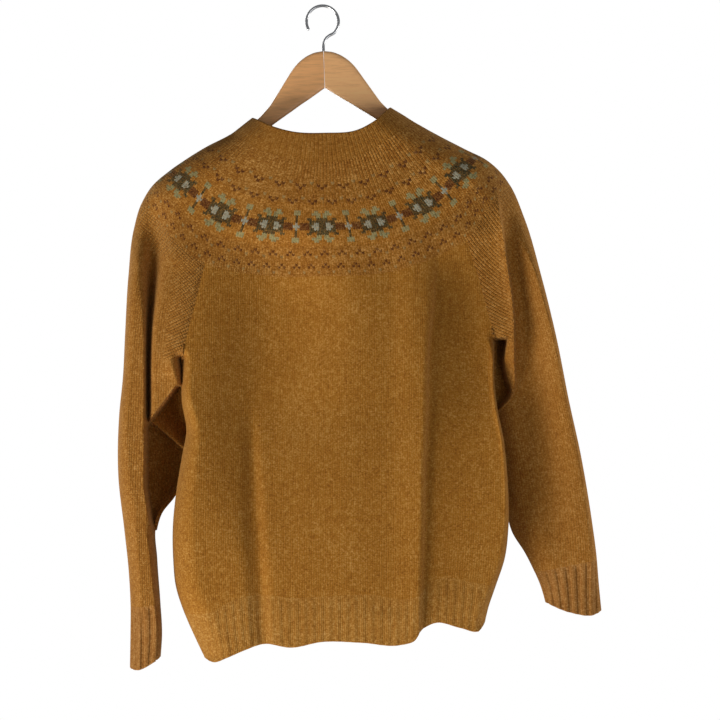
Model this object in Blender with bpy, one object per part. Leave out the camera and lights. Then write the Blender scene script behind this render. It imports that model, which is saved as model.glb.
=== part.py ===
# Fair isle yoke pullover hanging on a wooden hanger.
# Metres, +Z up. The origin is the inside top of the hook, the pullover's back
# faces -Y, and +X is on the right seen from there. Tables are in millimetres.

import math

import bpy
import numpy as np

MM = 0.001

# Cloth
WALL = 2.2                   # knitted wall
SEAM_GAP = 0.3               # between two pieces along a seam
ROUNDING_REACH = 110.0       # how far in from an outer fold the body goes on bulging
ON_FOLD = 0.05               # nearer than this to an outer fold is on it
BODY_SHARE = (0.2, 0.834)    # the body's part of the yoke, left to right
BOW = (26.0, 230.0, 235.0)   # how far the hanger's arms bow forward, at which x, up to which x
RAGLAN_BLEND = 55.0          # how far from its seam a sleeve takes on its own depth
RAGLAN_HOLD = 14.0           # how fast a sleeve's columns turn down from the raglan
SWING_BLEND = 30.0           # the same for the way it swings forward
SPLIT_FROM = np.array([0.37, 0.11, 1.0])   # the end of a seam's faces to split them from
SHARP_FROM = 75.0            # degrees between two faces whose shared edge shows as sharp

# Numbers of faces
YOKE_ROWS = 5
BAND_ROWS = 2
BODY_ROWS = 8
RIB_ROWS = 3
SLEEVE_ROWS = 12
CUFF_ROWS = 2
SLEEVE_COLUMNS = 6
RAGLAN_COLUMNS = 4
BODY_COLUMNS = 22
GROOVE_COLUMN = 4            # the left sleeve's column that runs down its groove
SLEEVE_SPREAD = (0, 0.05, 0.15, 0.26, 0.36, 0.45, 0.54, 0.65, 0.78, 0.91, 1)

# Hanger
WOOD_THICK = 12.0
WOOD_ROLL = 2.0              # degrees, its right arm up
WOOD_TOP = 55.0              # below the inside top of the hook
WIRE = 3.6
HOOK_RADIUS = 18.2           # inside the hook

# Edges seen from the back: mark, x, z. A smooth curve passes through the rows.
EDGES = {
    "neck_back": [
        ("start", -87.5, -139), ("", -65, -151), ("", -38, -159), ("", 4, -161),
        ("", 45, -157), ("", 67, -145), ("end", 86, -126)],
    "neck_front": [
        ("start", -87.5, -139), ("", -62, -160), ("", -30, -178), ("", 4, -183),
        ("", 38, -176), ("", 66, -153), ("end", 86, -126)],
    "band_back": [
        ("start", -115, -159), ("", -73, -182), ("", -34, -193), ("", 6, -196),
        ("", 42, -190), ("", 74, -173), ("end", 115, -143)],
    "band_front": [
        ("start", -115, -159), ("", -78, -192), ("", -36, -212), ("", 6, -217),
        ("", 46, -208), ("", 80, -184), ("end", 115, -143)],
    "yoke_back": [
        ("start", -227.5, -245), ("", -202, -269), ("", -171, -304), ("left", -145, -321),
        ("", -90, -334), ("", 4, -337), ("", 98, -329), ("", 147, -310),
        ("right", 180, -291), ("", 206, -253), ("end", 236, -221)],
    "yoke_front": [
        ("start", -227.5, -245), ("", -200, -276), ("", -172, -312), ("left", -147, -331),
        ("", -90, -350), ("", 4, -356), ("", 98, -346), ("", 149, -324),
        ("right", 182, -300), ("", 208, -260), ("end", 236, -221)],
    "raglan_back_left": [
        ("start", -145, -321), ("", -158, -375), ("end", -175.3, -441)],
    "raglan_front_left": [
        ("start", -147, -331), ("", -160, -382), ("end", -175.3, -441)],
    "raglan_back_right": [
        ("start", 180, -291), ("", 197, -345), ("end", 216, -417)],
    "raglan_front_right": [
        ("start", 182, -300), ("", 199, -352), ("end", 216, -417)],
    "side_left": [
        ("start", -175.3, -441), ("", -176, -468), ("", -175.5, -491), ("", -169.5, -531),
        ("", -174, -556), ("", -182.5, -608), ("", -186.5, -650), ("", -186, -690),
        ("", -183, -722), ("rib", -172, -757), ("", -158.5, -788), ("end", -147, -812)],
    "side_right": [
        ("start", 216, -417), ("", 216, -471), ("", 219, -499), ("", 227, -540),
        ("", 232, -590), ("", 233, -650), ("", 228.5, -688), ("rib", 217.5, -722),
        ("", 207.5, -752), ("end", 204, -767)],
    "outer_left": [
        ("start", -87.5, -139), ("band", -115, -159), ("", -145, -174), ("", -170, -189),
        ("", -192, -204), ("", -214, -223), ("yoke", -227.5, -245), ("", -237, -277),
        ("", -243, -335), ("", -247, -405), ("", -250, -462), ("", -255, -510),
        ("", -256, -588), ("", -248, -655), ("", -242.5, -705), ("cuff", -240, -750),
        ("", -240, -785), ("end", -240.5, -825)],
    "outer_right": [
        ("start", 86, -126), ("band", 115, -143), ("", 150, -162), ("", 180, -177),
        ("", 208, -191), ("", 225, -206), ("yoke", 236, -221), ("", 254, -262),
        ("", 276, -340), ("", 294, -415), ("", 309, -490), ("", 325, -563),
        ("", 338, -640), ("cuff", 344.5, -690), ("", 347, -722), ("end", 350, -754)],
    "inner_left": [
        ("start", -175.3, -441), ("", -176.6, -470), ("", -174, -500), ("", -167, -531),
        ("", -168, -556), ("", -175, -590), ("", -187, -612), ("", -203, -633),
        ("", -208.5, -650), ("", -207, -690), ("cuff", -203, -745), ("", -200.5, -785),
        ("end", -202, -812)],
    "inner_right": [
        ("start", 216, -417), ("", 216.6, -445), ("", 214, -480), ("", 217, -512),
        ("", 222, -550), ("", 227, -590), ("", 231, -628), ("", 238, -656),
        ("", 254.5, -683), ("cuff", 266.5, -707), ("", 274, -725), ("end", 279.5, -744)],
    "rib_back": [
        ("start", -172, -757), ("", -137, -753), ("", -112, -739), ("", -71, -731),
        ("", -40, -735), ("", 4, -733), ("", 62, -731), ("", 106, -736), ("", 122, -731),
        ("", 132, -717), ("", 150, -711), ("", 185, -716), ("end", 217.5, -722)],
    "rib_front": [
        ("start", -172, -757), ("", -120, -742), ("", -60, -728), ("", 10, -731),
        ("", 70, -722), ("", 112, -717), ("", 142, -709), ("", 180, -713), ("end", 217.5, -722)],
    "hem_back": [
        ("start", -147, -812), ("", -136, -815), ("", -118, -809), ("", -97, -800),
        ("", -72, -792), ("", -37, -796), ("", 0, -789), ("", 50, -790), ("", 96, -793),
        ("", 114, -788), ("", 126, -773), ("", 140, -766), ("", 172, -772),
        ("", 194, -776), ("end", 204, -767)],
    "hem_front": [
        ("start", -147, -812), ("", -132, -809), ("", -110, -800), ("", -60, -785),
        ("", 10, -785), ("", 70, -778), ("", 112, -770), ("", 142, -761), ("", 180, -766),
        ("end", 204, -767)],
    "cuff_top_left": [("start", -240, -750), ("end", -203, -745)],
    "cuff_end_left": [("start", -240.5, -825), ("", -232, -826), ("end", -202, -812)],
    "cuff_top_right": [("start", 344.5, -690), ("end", 266.5, -707)],
    "cuff_end_right": [("start", 350, -754), ("", 339, -758.5), ("", 310, -755.5), ("end", 279.5, -744)],
}

# Depth of the body behind and in front of its middle: z, back, front
BODY_DEPTH = [
    (-120, 44, 40), (-200, 44, 42), (-280, 44, 42), (-360, 46, 44), (-450, 47, 46),
    (-600, 50, 48), (-740, 50, 48), (-800, 43, 42)]

# A sleeve: z, how far in from its folds it goes on bulging, back, front, swing forward
SLEEVE_DEPTH = {
    "left": [
        (-220, 60, 40, 36, 0), (-300, 58, 40, 36, 2), (-440, 45, 44, 34, 6),
        (-520, 40, 48, 30, 14), (-600, 38, 48, 30, 12), (-660, 22, 44, 40, 4),
        (-745, 18, 42, 42, 0), (-790, 18, 34, 34, -4), (-825, 18, 32, 32, -6)],
    "right": [
        (-200, 60, 40, 36, 0), (-300, 58, 38, 36, 2), (-416, 50, 36, 36, 8),
        (-500, 50, 30, 34, 16), (-600, 48, 28, 30, 12), (-690, 38, 24, 26, 4),
        (-725, 34, 20, 20, 0), (-760, 34, 18, 18, -2)]}

# Folds: z, x, rise (a negative one is a valley), width to its left, width to its right
BACK_FOLDS = {
    "panel_valley": [
        (-290, -112, 0, 40, 30), (-354, -104, -12, 45, 40), (-430, -97, -19, 46, 32),
        (-500, -91, -21, 42, 18), (-580, -85, -21, 34, 11), (-660, -79, -19, 26, 9),
        (-740, -72, -16, 18, 8), (-815, -69, -12, 14, 8)],
    "panel_step": [
        (-290, 146, 0, 9, 50), (-354, 142, -15, 9, 66), (-430, 140, -23, 8, 70),
        (-600, 136, -26, 8, 72), (-700, 134, -24, 8, 66), (-780, 133, -19, 8, 58)],
    "centre_dip": [
        (-300, 48, -1, 30, 26), (-400, 48, -5, 30, 24), (-520, 52, -3, 30, 24),
        (-640, 56, 0, 30, 24)],
    "left_groove": [
        (-236, -209, 0, 11, 14), (-262, -211, -14, 11, 14), (-290, -212, -26, 11, 14),
        (-366, -215, -30, 11, 14), (-454, -217, -30, 10, 14), (-600, -217, -30, 10, 14),
        (-650, -214, 0, 10, 12)],
    "right_ridge": [
        (-225, 213, 0, 18, 7), (-252, 219, 8, 18, 7), (-286, 224, 12, 18, 7),
        (-366, 235, 14, 15, 7), (-420, 238, 14, 10, 7), (-476, 239, 12, 8, 7),
        (-505, 228, 0, 8, 7)],
    "right_valley": [
        (-235, 232, 0, 9, 16), (-286, 240, -16, 10, 20), (-354, 250, -21, 12, 21),
        (-429, 257, -21, 16, 20), (-491, 260, -20, 22, 19), (-541, 265, -17, 24, 19),
        (-616, 271, -11, 24, 19), (-690, 276, 0, 24, 19)]}
FRONT_FOLDS = {
    "left_pleat": [
        (-330, -70, 0, 16, 46), (-420, -78, -13, 13, 50), (-560, -88, -20, 10, 52),
        (-700, -92, -18, 10, 44), (-815, -90, -13, 10, 36)],
    "right_pleat": [
        (-320, 110, 0, 46, 20), (-440, 104, -15, 50, 14), (-600, 98, -22, 52, 10),
        (-740, 95, -17, 44, 10), (-800, 95, -13, 40, 10)],
    "centre_dip": [
        (-380, 12, 0, 26, 26), (-500, 10, -6, 26, 26), (-700, 6, -5, 24, 24),
        (-800, 4, -3, 22, 22)],
    "left_sleeve_dip": [
        (-300, -205, 0, 16, 16), (-400, -212, -9, 14, 18), (-520, -222, -8, 14, 16),
        (-640, -228, 0, 12, 12)],
    "right_sleeve_dip": [
        (-290, 238, 0, 18, 16), (-400, 256, -9, 18, 16), (-560, 276, -9, 18, 18),
        (-670, 292, 0, 18, 16)]}

# Where a sleeve's slack is tucked away at the back, under the arm: x, z
TUCKS = {
    "left": [
        (-140, -467), (-176, -467), (-213, -516), (-217, -524), (-217, -600),
        (-213, -640), (-208, -660), (-140, -660)],
    "right": [
        (200, -417), (232, -417), (226, -437), (231, -457), (234, -478), (221, -505),
        (200, -505)]}
TUCK_DEPTH = 3.0
TUCK_SOFTNESS = 14.0

# One arm of the hanger: how far out, drop of its top edge, drop of its under edge
HANGER_ARM = [
    (0.25, 0, 46), (12, 1.6, 54), (22, 6, 60.5), (31, 12.5, 66), (39, 21, 71.5),
    (49, 36, 78), (59, 51, 84.5), (69, 66, 91.5), (83, 80.5, 101.5), (115, 101.5, 122.5),
    (145, 118.5, 140.5), (170, 132.5, 154.5), (192, 145, 166.5), (205, 154, 171.5),
    (211, 160.5, 169)]

COLOURS = {
    "collar": (0.24, 0.115, 0.022), "yoke": (0.37, 0.15, 0.02), "body": (0.28, 0.125, 0.02),
    "sleeve": (0.25, 0.105, 0.025), "rib": (0.26, 0.12, 0.03), "wood": (0.5, 0.27, 0.12),
    "steel": (0.62, 0.62, 0.62)}


def smoothstep(value):
    t = np.clip(value, 0, 1)
    return t * t * (3 - 2 * t)


def curve_points(knots, t):
    """Points at the fractions t of a cubic curve through the knots."""
    knots = np.asarray(knots, float)
    steps = np.hypot(*np.diff(knots, axis=0).T)
    s = np.concatenate([[0], np.cumsum(steps)]) / steps.sum()
    slope = np.gradient(knots, s, axis=0)
    i = np.clip(np.searchsorted(s, t, side="right") - 1, 0, len(s) - 2)
    h = (s[i + 1] - s[i])[:, None]
    q = (np.asarray(t)[:, None] - s[i][:, None]) / h
    return ((2 * q**3 - 3 * q**2 + 1) * knots[i] + (q**3 - 2 * q**2 + q) * h * slope[i]
            + (3 * q**2 - 2 * q**3) * knots[i + 1] + (q**3 - q**2) * h * slope[i + 1])


def edge(name, t, first="start", last="end"):
    """Points at the fractions t of an edge, between two of its marks."""
    rows = EDGES[name]
    knots = np.array([row[1:] for row in rows], float)
    steps = np.hypot(*np.diff(knots, axis=0).T)
    s = np.concatenate([[0], np.cumsum(steps)]) / steps.sum()
    marks = [row[0] for row in rows]
    low, high = s[marks.index(first)], s[marks.index(last)]
    return curve_points(knots, low + (high - low) * np.asarray(t, float))


def edge_line(name, count=120):
    return edge(name, np.linspace(0, 1, count))


def distance_to(points, line):
    """Distance from each point to a line of straight pieces."""
    a, b = line[:-1], line[1:]
    along = b - a
    offset = points[..., None, :] - a
    share = np.clip((offset * along).sum(-1) / (along**2).sum(-1), 0, 1)
    return np.sqrt(((offset - share[..., None] * along)**2).sum(-1)).min(-1)


def inside(points, polygon):
    """True for the points inside a polygon."""
    x, z = points[..., 0], points[..., 1]
    result = np.zeros(x.shape, bool)
    for (xa, za), (xb, zb) in zip(polygon, polygon[1:] + polygon[:1]):
        crosses = (za > z) != (zb > z)
        result ^= crosses & (x < (xb - xa) * (z - za) / (zb - za + 1e-12) + xa)
    return result


def table(rows, z):
    """The columns of a table, read at the heights z."""
    rows = np.array(rows, float)[::-1]
    return [np.interp(z, rows[:, 0], column) for column in rows.T[1:]]


def bulge(distance, reach):
    """A quarter ellipse: 0 at the outer fold, 1 from the reach on."""
    return np.sqrt(1 - (1 - np.clip((distance - ON_FOLD) / reach, 0, 1))**2)


def fold_depth(points, folds):
    """What a face's folds add to its depth."""
    x, z = points[..., 0], points[..., 1]
    total = np.zeros(x.shape)
    for rows in folds.values():
        centre, rise, left, right = table(rows, z)
        rise = rise * ((z < rows[0][0]) & (z > rows[-1][0] - 15))
        width = np.where(x < centre, left, right)
        total += rise * np.exp(-((x - centre) / width)**2)
    return total


def bow_of(x):
    reach, at, limit = BOW
    return reach * (np.clip(x, -limit, limit) / at)**2


def seam_of(side, face):
    """The line where a sleeve meets the yoke and the body."""
    marks = ("start", "left") if side == "left" else ("right", "end")
    t = np.linspace(0, 1, 24)
    arc = edge(f"yoke_{face}", t, *marks)
    if side == "right":
        arc = arc[::-1]
    return np.vstack([arc, edge_line(f"raglan_{face}_{side}", 24)[1:]])


def place(points, face, sleeve=None):
    """Lift points of the flat outline (x, z) to the back or the front of the cloth."""
    x, z = points[..., 0], points[..., 1]
    outer = np.minimum(distance_to(points, edge_line("outer_left")),
                       distance_to(points, edge_line("outer_right")))
    column = 0 if face == "back" else 1
    reach = np.full(x.shape, ROUNDING_REACH)
    depth = table(BODY_DEPTH, z)[column]
    middle = bow_of(x)
    if sleeve:
        fold = np.minimum(outer, distance_to(points, edge_line(f"inner_{sleeve}")))
        seam = distance_to(points, seam_of(sleeve, face))
        own = table(SLEEVE_DEPTH[sleeve], z)
        share = smoothstep(seam / RAGLAN_BLEND)
        reach += (own[0] - reach) * share
        depth += (own[1 + column] - depth) * share
        middle += own[3] * smoothstep(seam / SWING_BLEND)
    else:
        fold = np.minimum(outer, np.minimum(distance_to(points, edge_line("side_left")),
                                            distance_to(points, edge_line("side_right"))))
        middle *= 1 - 0.85 * smoothstep((-z - 447) / 100)
    depth = depth * bulge(fold, reach)
    folds = BACK_FOLDS if face == "back" else FRONT_FOLDS
    depth += fold_depth(points, folds) * bulge(fold, 40)
    if sleeve and face == "back":
        tuck = TUCKS[sleeve]
        line = np.array(tuck + tuck[:1], float)
        signed = distance_to(points, line) * np.where(inside(points, tuck), 1, -1)
        tucked = smoothstep(0.5 + signed / TUCK_SOFTNESS) * smoothstep(seam / TUCK_SOFTNESS)
        depth += (TUCK_DEPTH * bulge(fold, 6) - depth) * tucked
    y = middle - depth if face == "back" else middle + depth
    return np.stack([x, y, z], -1)


def patch(top, bottom, left, right, u, v, hold_top=1.0, hold_bottom=1.0):
    """Fill four edges with a grid: straight across, bent to the top and bottom edges."""
    u = np.asarray(u, float)[None, :, None]
    v = np.asarray(v, float)[:, None, None]
    across = (1 - u) * left[:, None] + u * right[:, None]
    bend_top = top[None] - (1 - u) * top[None, :1] - u * top[None, -1:]
    bend_bottom = bottom[None] - (1 - u) * bottom[None, :1] - u * bottom[None, -1:]
    return across + bend_top * (1 - v)**hold_top + bend_bottom * v**hold_bottom


def follow_fold(flat, path, column):
    """Slide a left sleeve's columns along its rows so that one runs down a fold."""
    index = np.arange(flat.shape[1])
    for i, row in enumerate(flat[1:-1], 1):
        at = np.interp(0, row[:, 0] - table(path, row[:, 1])[0], index)
        share = smoothstep((1 - i / len(flat)) / 0.3)
        at = column + share * np.clip(at - column, -1.5, 2.5)
        new = np.interp(index, [0, column, index[-1]], [0, at, index[-1]])
        row[:] = np.stack([np.interp(new, index, row[:, k]) for k in range(2)], -1)


# Columns and rows of the grids, as fractions
body_u = np.arange(BODY_COLUMNS + 1) / BODY_COLUMNS
body_u = 0.4 * body_u + 0.6 * (0.5 - 0.5 * np.cos(np.pi * body_u))
shoulder_t = (np.arange(SLEEVE_COLUMNS + 1) / SLEEVE_COLUMNS)**1.5
raglan_t = np.arange(RAGLAN_COLUMNS + 1) / RAGLAN_COLUMNS


def rows_of(count):
    return np.linspace(0, 1, count + 1)


def arc_points(name, marks=None):
    """Points of the neckband seam or the yoke's lower edge, in its three stretches."""
    if marks:
        left = edge(name, shoulder_t, "start", marks[0])
        middle = edge(name, body_u, *marks)
        right = edge(name, 1 - shoulder_t[::-1], marks[1], "end")
    else:
        low, high = BODY_SHARE
        left = edge(name, low * shoulder_t)
        middle = edge(name, low + (high - low) * body_u)
        right = edge(name, high + (1 - high) * (1 - shoulder_t[::-1]))
    return np.vstack([left, middle[1:], right[1:]])


def ring(back, front):
    """Join a back grid and a front grid at the two outer folds."""
    return np.concatenate([back, front[:, -2:0:-1]], 1)


def neck_pieces():
    arcs = {
        "neckband": ("neck", "band", "start", "band", BAND_ROWS, None),
        "yoke": ("band", "yoke", "band", "yoke", YOKE_ROWS, ("left", "right"))}
    skins = {}
    for name, (upper, lower, first, last, rows, marks) in arcs.items():
        v = rows_of(rows)
        faces = []
        for face in ("back", "front"):
            top = arc_points(f"{upper}_{face}")
            bottom = arc_points(f"{lower}_{face}", marks)
            u = np.linspace(0, 1, len(top))
            flat = patch(top, bottom, edge("outer_left", v, first, last),
                         edge("outer_right", v, first, last), u, v)
            faces.append(place(flat, face))
        skins[name] = ring(*faces)
    return skins


def body_pieces():
    v = np.concatenate([0.29 * raglan_t, 0.29 + 0.71 * rows_of(BODY_ROWS)[1:]])
    rib_v = rows_of(RIB_ROWS)
    skins = {}
    ribs = []
    for face in ("back", "front"):
        sides = []
        for side in ("left", "right"):
            raglan = edge(f"raglan_{face}_{side}", raglan_t)
            lower = edge(f"side_{side}", rows_of(BODY_ROWS), "start", "rib")
            sides.append(np.vstack([raglan, lower[1:]]))
        top = edge(f"yoke_{face}", body_u, "left", "right")
        rib_top = edge(f"rib_{face}", body_u)
        flat = patch(top, rib_top, *sides, body_u, v, 1.5, 3)
        skins[f"{face}_panel"] = place(flat, face)
        flat = patch(rib_top, edge(f"hem_{face}", body_u),
                     edge("side_left", rib_v, "rib", "end"),
                     edge("side_right", rib_v, "rib", "end"), body_u, rib_v)
        ribs.append(place(flat, face))
    skins["hem_rib"] = ring(*ribs)
    return skins


def sleeve_pieces(side):
    v = rows_of(SLEEVE_ROWS)**1.5
    cuff_v = rows_of(CUFF_ROWS)
    spread = np.array(SLEEVE_SPREAD)
    sleeves, cuffs = [], []
    for face in ("back", "front"):
        if side == "left":
            arc = edge(f"yoke_{face}", shoulder_t, "start", "left")
        else:
            arc = edge(f"yoke_{face}", 1 - shoulder_t, "right", "end")
        top = np.vstack([arc, edge(f"raglan_{face}_{side}", raglan_t)[1:]])
        cuff_top = edge(f"cuff_top_{side}", spread)
        flat = patch(top, cuff_top, edge(f"outer_{side}", v, "yoke", "cuff"),
                     edge(f"inner_{side}", v, "start", "cuff"), spread, v, RAGLAN_HOLD, 3)
        if side == "left" and face == "back":
            follow_fold(flat, BACK_FOLDS["left_groove"], GROOVE_COLUMN)
        sleeves.append(place(flat, face, side))
        flat = patch(cuff_top, edge(f"cuff_end_{side}", spread),
                     edge(f"outer_{side}", cuff_v, "cuff", "end"),
                     edge(f"inner_{side}", cuff_v, "cuff", "end"), spread, cuff_v)
        cuffs.append(place(flat, face, side))
    return {f"sleeve_{side}": ring(*sleeves), f"cuff_{side}": ring(*cuffs)}


def grid_faces(rows, columns, closed):
    """Quads of a grid as four vertex numbers each."""
    count = columns if closed else columns - 1
    r, c = np.meshgrid(np.arange(rows - 1), np.arange(count), indexing="ij")
    d = (c + 1) % columns
    return np.stack([r * columns + c, r * columns + d, (r + 1) * columns + d,
                     (r + 1) * columns + c], -1).reshape(-1, 4)


def skin_normals(skins, flipped):
    """One outward direction for each place of the skin, shared along the seams."""
    totals = {}
    keys = {}
    for name, grid in skins.items():
        points = grid.reshape(-1, 3)
        quads = grid_faces(*grid.shape[:2], not name.endswith("panel"))
        a, b, c, d = (points[quads[:, i]] for i in range(4))
        normal = np.cross(c - a, b - d)
        if name in flipped:
            normal = -normal
        keys[name] = [tuple(p) for p in np.round(points, 3)]
        for quad, n in zip(quads, normal):
            for corner in quad:
                key = keys[name][corner]
                totals[key] = totals.get(key, 0) + n
    result = {}
    for name, grid in skins.items():
        n = np.array([totals[key] for key in keys[name]])
        result[name] = (n / np.linalg.norm(n, axis=1)[:, None]).reshape(grid.shape)
    return result


def open_seams(grid, closed):
    """Draw a piece back from its seams by half the gap."""
    grid = grid.copy()
    half = SEAM_GAP / 2
    ends = [(0, 1, 0), (-1, -2, 0)] + ([] if closed else [(0, 1, 1), (-1, -2, 1)])
    for rim, neighbour, axis in ends:
        step = grid.take(neighbour, axis) - grid.take(rim, axis)
        step *= half / np.linalg.norm(step, axis=-1)[..., None]
        if axis == 0:
            grid[rim] += step
        else:
            grid[:, rim] += step
    return grid


def make_material(name):
    material = bpy.data.materials.new(name)
    material.use_nodes = True
    shader = material.node_tree.nodes["Principled BSDF"]
    finish = next(key for key in COLOURS if key in name)
    shader.inputs["Base Color"].default_value = (*COLOURS[finish], 1)
    shader.inputs["Roughness"].default_value = 0.3 if finish == "steel" else 0.9
    shader.inputs["Metallic"].default_value = 1.0 if finish == "steel" else 0.0
    return material


def add_mesh(name, finish, vertices, faces, collection, smooth=True):
    mesh = bpy.data.meshes.new(name)
    mesh.from_pydata([tuple(v * MM) for v in vertices], [], [tuple(map(int, f)) for f in faces])
    mesh.update()
    if smooth:
        mesh.shade_smooth()
        mesh.set_sharp_from_angle(angle=math.radians(SHARP_FROM))
    piece = bpy.data.objects.new(name, mesh)
    piece.data.materials.append(make_material(f"{name}_{finish}"))
    collection.objects.link(piece)
    return piece


def add_cloth(name, finish, grid, normals, flipped, collection):
    """A wall between the skin and the same grid moved in by its thickness."""
    closed = not name.endswith("panel")
    outer = open_seams(grid, closed)
    inner = open_seams(grid - normals * WALL, closed)
    rows, columns = grid.shape[:2]
    count = rows * columns
    quads = grid_faces(rows, columns, closed)
    if name not in flipped:
        quads = quads[:, ::-1]
    walls = [quads, quads[:, ::-1] + count]
    index = np.arange(count).reshape(rows, columns)
    if closed:
        rims = [np.append(index[0], index[0, 0]), np.append(index[-1], index[-1, 0])[::-1]]
    else:
        rims = [np.concatenate([index[0], index[1:, -1], index[-1, -2::-1], index[-2::-1, 0]])]
    vertices = np.vstack([outer.reshape(-1, 3), inner.reshape(-1, 3)])
    faces = [list(quad) for quad in np.vstack(walls)]
    for rim in rims:
        for a, b in zip(rim[:-1], rim[1:]):
            # both pieces along a seam split its wall from the same end
            if vertices[a] @ SPLIT_FROM > vertices[b] @ SPLIT_FROM:
                pair = [[a, b, b + count], [a, b + count, a + count]]
            else:
                pair = [[a, b, a + count], [b, b + count, a + count]]
            faces += pair if name not in flipped else [face[::-1] for face in pair]
    return add_mesh(name, finish, vertices, faces, collection)


def rolled(points):
    """Turn the hanger's own points by its roll about the hook's inside top."""
    angle = math.radians(WOOD_ROLL)
    x, y, z = points.T
    return np.stack([x * math.cos(angle) - z * math.sin(angle), y,
                     x * math.sin(angle) + z * math.cos(angle)], -1)


def add_hanger_arm(side, collection):
    """A half of the hanger: rounded sections carried out along the bowed arm."""
    sign = -1 if side == "left" else 1
    sections = []
    corners = 16
    angle = (np.arange(corners) + 0.5) * 2 * np.pi / corners
    ring_y = np.sign(np.cos(angle)) * np.abs(np.cos(angle))**0.5
    ring_z = np.sign(np.sin(angle)) * np.abs(np.sin(angle))**0.5
    for reach, top, under in HANGER_ARM:
        thick = WOOD_THICK * (1 if reach < 208 else 0.7)
        y = bow_of(reach) + ring_y * thick / 2
        z = -WOOD_TOP - (top + under) / 2 + ring_z * (under - top) / 2
        sections.append(np.stack([np.full(corners, sign * reach), y, z], -1))
    grid = np.array(sections)
    rows = len(grid)
    quads = grid_faces(rows, corners, True)
    caps = [np.arange(corners)[::-1], np.arange(corners) + (rows - 1) * corners]
    faces = [list(q) for q in quads] + [list(c) for c in caps]
    if side == "right":
        faces = [face[::-1] for face in faces]
    faces = [face[::-1] for face in faces]
    add_mesh(f"hanger_{side}", "wood", rolled(grid.reshape(-1, 3)), faces, collection)


def add_hook(collection):
    """A bent wire: stem, neck bend, then a turn over the top, ending in a blunt tip."""
    radius = HOOK_RADIUS + WIRE / 2
    centre = -HOOK_RADIUS
    turn = np.radians(np.linspace(-48, 205, 26))
    arc = np.stack([radius * np.cos(turn), centre + radius * np.sin(turn)], -1)
    stem = [(0, -WOOD_TOP + 0.4), (0, -WOOD_TOP + 6), (0.6, -45)]
    bend = [(4.2, -38.6), (9, -35.2)]
    route = curve_points(stem + bend + [tuple(p) for p in arc], np.linspace(0, 1, 60))
    curve = bpy.data.curves.new("hook", "CURVE")
    curve.dimensions = "3D"
    curve.bevel_depth = WIRE / 2 * MM
    curve.bevel_resolution = 2
    curve.use_fill_caps = True
    spline = curve.splines.new("POLY")
    spline.points.add(len(route) - 1)
    points = rolled(np.stack([route[:, 0], 0 * route[:, 0], route[:, 1]], -1)) * MM
    for point, place_at in zip(spline.points, points):
        point.co = (*place_at, 1)
    piece = bpy.data.objects.new("hook", curve)
    curve.materials.append(make_material("hook_steel"))
    collection.objects.link(piece)


def build():
    for old in list(bpy.data.objects):
        bpy.data.objects.remove(old)
    collection = bpy.data.collections.new("fair_isle_yoke_pullover")
    bpy.context.scene.collection.children.link(collection)
    skins = {**neck_pieces(), **body_pieces(), **sleeve_pieces("left"), **sleeve_pieces("right")}
    flipped = {"front_panel", "sleeve_right", "cuff_right"}
    normals = skin_normals(skins, flipped)
    for name, grid in skins.items():
        finish = {"neckband": "collar", "yoke": "yoke", "hem_rib": "rib"}.get(name)
        if finish is None:
            finish = "body" if "panel" in name else "sleeve"
        add_cloth(name, finish, grid, normals[name], flipped, collection)
    for side in ("left", "right"):
        add_hanger_arm(side, collection)
    add_hook(collection)


build()
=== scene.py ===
# Fair isle yoke pullover on a wooden hanger: knitted pieces, hanger, light and camera.
# Tables are in millimetres, as seen from the pullover's back: +X right, +Z up, -Y towards the camera.
import functools
import math

import bpy
import mathutils
import numpy as np
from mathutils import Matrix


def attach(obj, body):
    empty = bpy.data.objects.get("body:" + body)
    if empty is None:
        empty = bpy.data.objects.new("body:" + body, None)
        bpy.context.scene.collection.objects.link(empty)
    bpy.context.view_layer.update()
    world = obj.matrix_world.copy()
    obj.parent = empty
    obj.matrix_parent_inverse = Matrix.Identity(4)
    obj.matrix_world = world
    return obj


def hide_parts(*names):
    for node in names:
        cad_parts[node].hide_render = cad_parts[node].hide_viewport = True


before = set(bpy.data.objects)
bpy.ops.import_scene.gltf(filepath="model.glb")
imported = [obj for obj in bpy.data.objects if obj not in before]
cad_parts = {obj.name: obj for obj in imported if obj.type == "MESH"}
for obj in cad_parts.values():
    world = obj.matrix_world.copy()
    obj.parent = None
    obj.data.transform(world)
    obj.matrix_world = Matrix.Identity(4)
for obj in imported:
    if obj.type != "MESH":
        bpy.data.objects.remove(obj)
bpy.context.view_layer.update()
mm = 0.001


def smoothStep(value):
    # 0 below 0, 1 above 1, 3t^2 - 2t^3 between
    t = np.clip(value, 0, 1)
    return t * t * (3 - 2 * t)


def travelled(line):
    # distance along a line of straight pieces, at each of its points
    return np.concatenate([[0], np.cumsum(np.hypot(*np.diff(line, axis=0).T))])


def curvePoints(knots, t):
    # cubic through the knots, whose slope at each is that of its neighbours, spaced by their distances
    knots = np.asarray(knots, float)
    s = travelled(knots)
    s = s / s[-1]
    slope = np.gradient(knots, s, axis=0)
    i = np.clip(np.searchsorted(s, t, side="right") - 1, 0, len(s) - 2)
    h = (s[i + 1] - s[i])[:, None]
    q = (np.asarray(t)[:, None] - s[i][:, None]) / h
    return ((2 * q**3 - 3 * q**2 + 1) * knots[i] + (q**3 - 2 * q**2 + q) * h * slope[i]
            + (3 * q**2 - 2 * q**3) * knots[i + 1] + (q**3 - q**2) * h * slope[i + 1])


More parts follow.
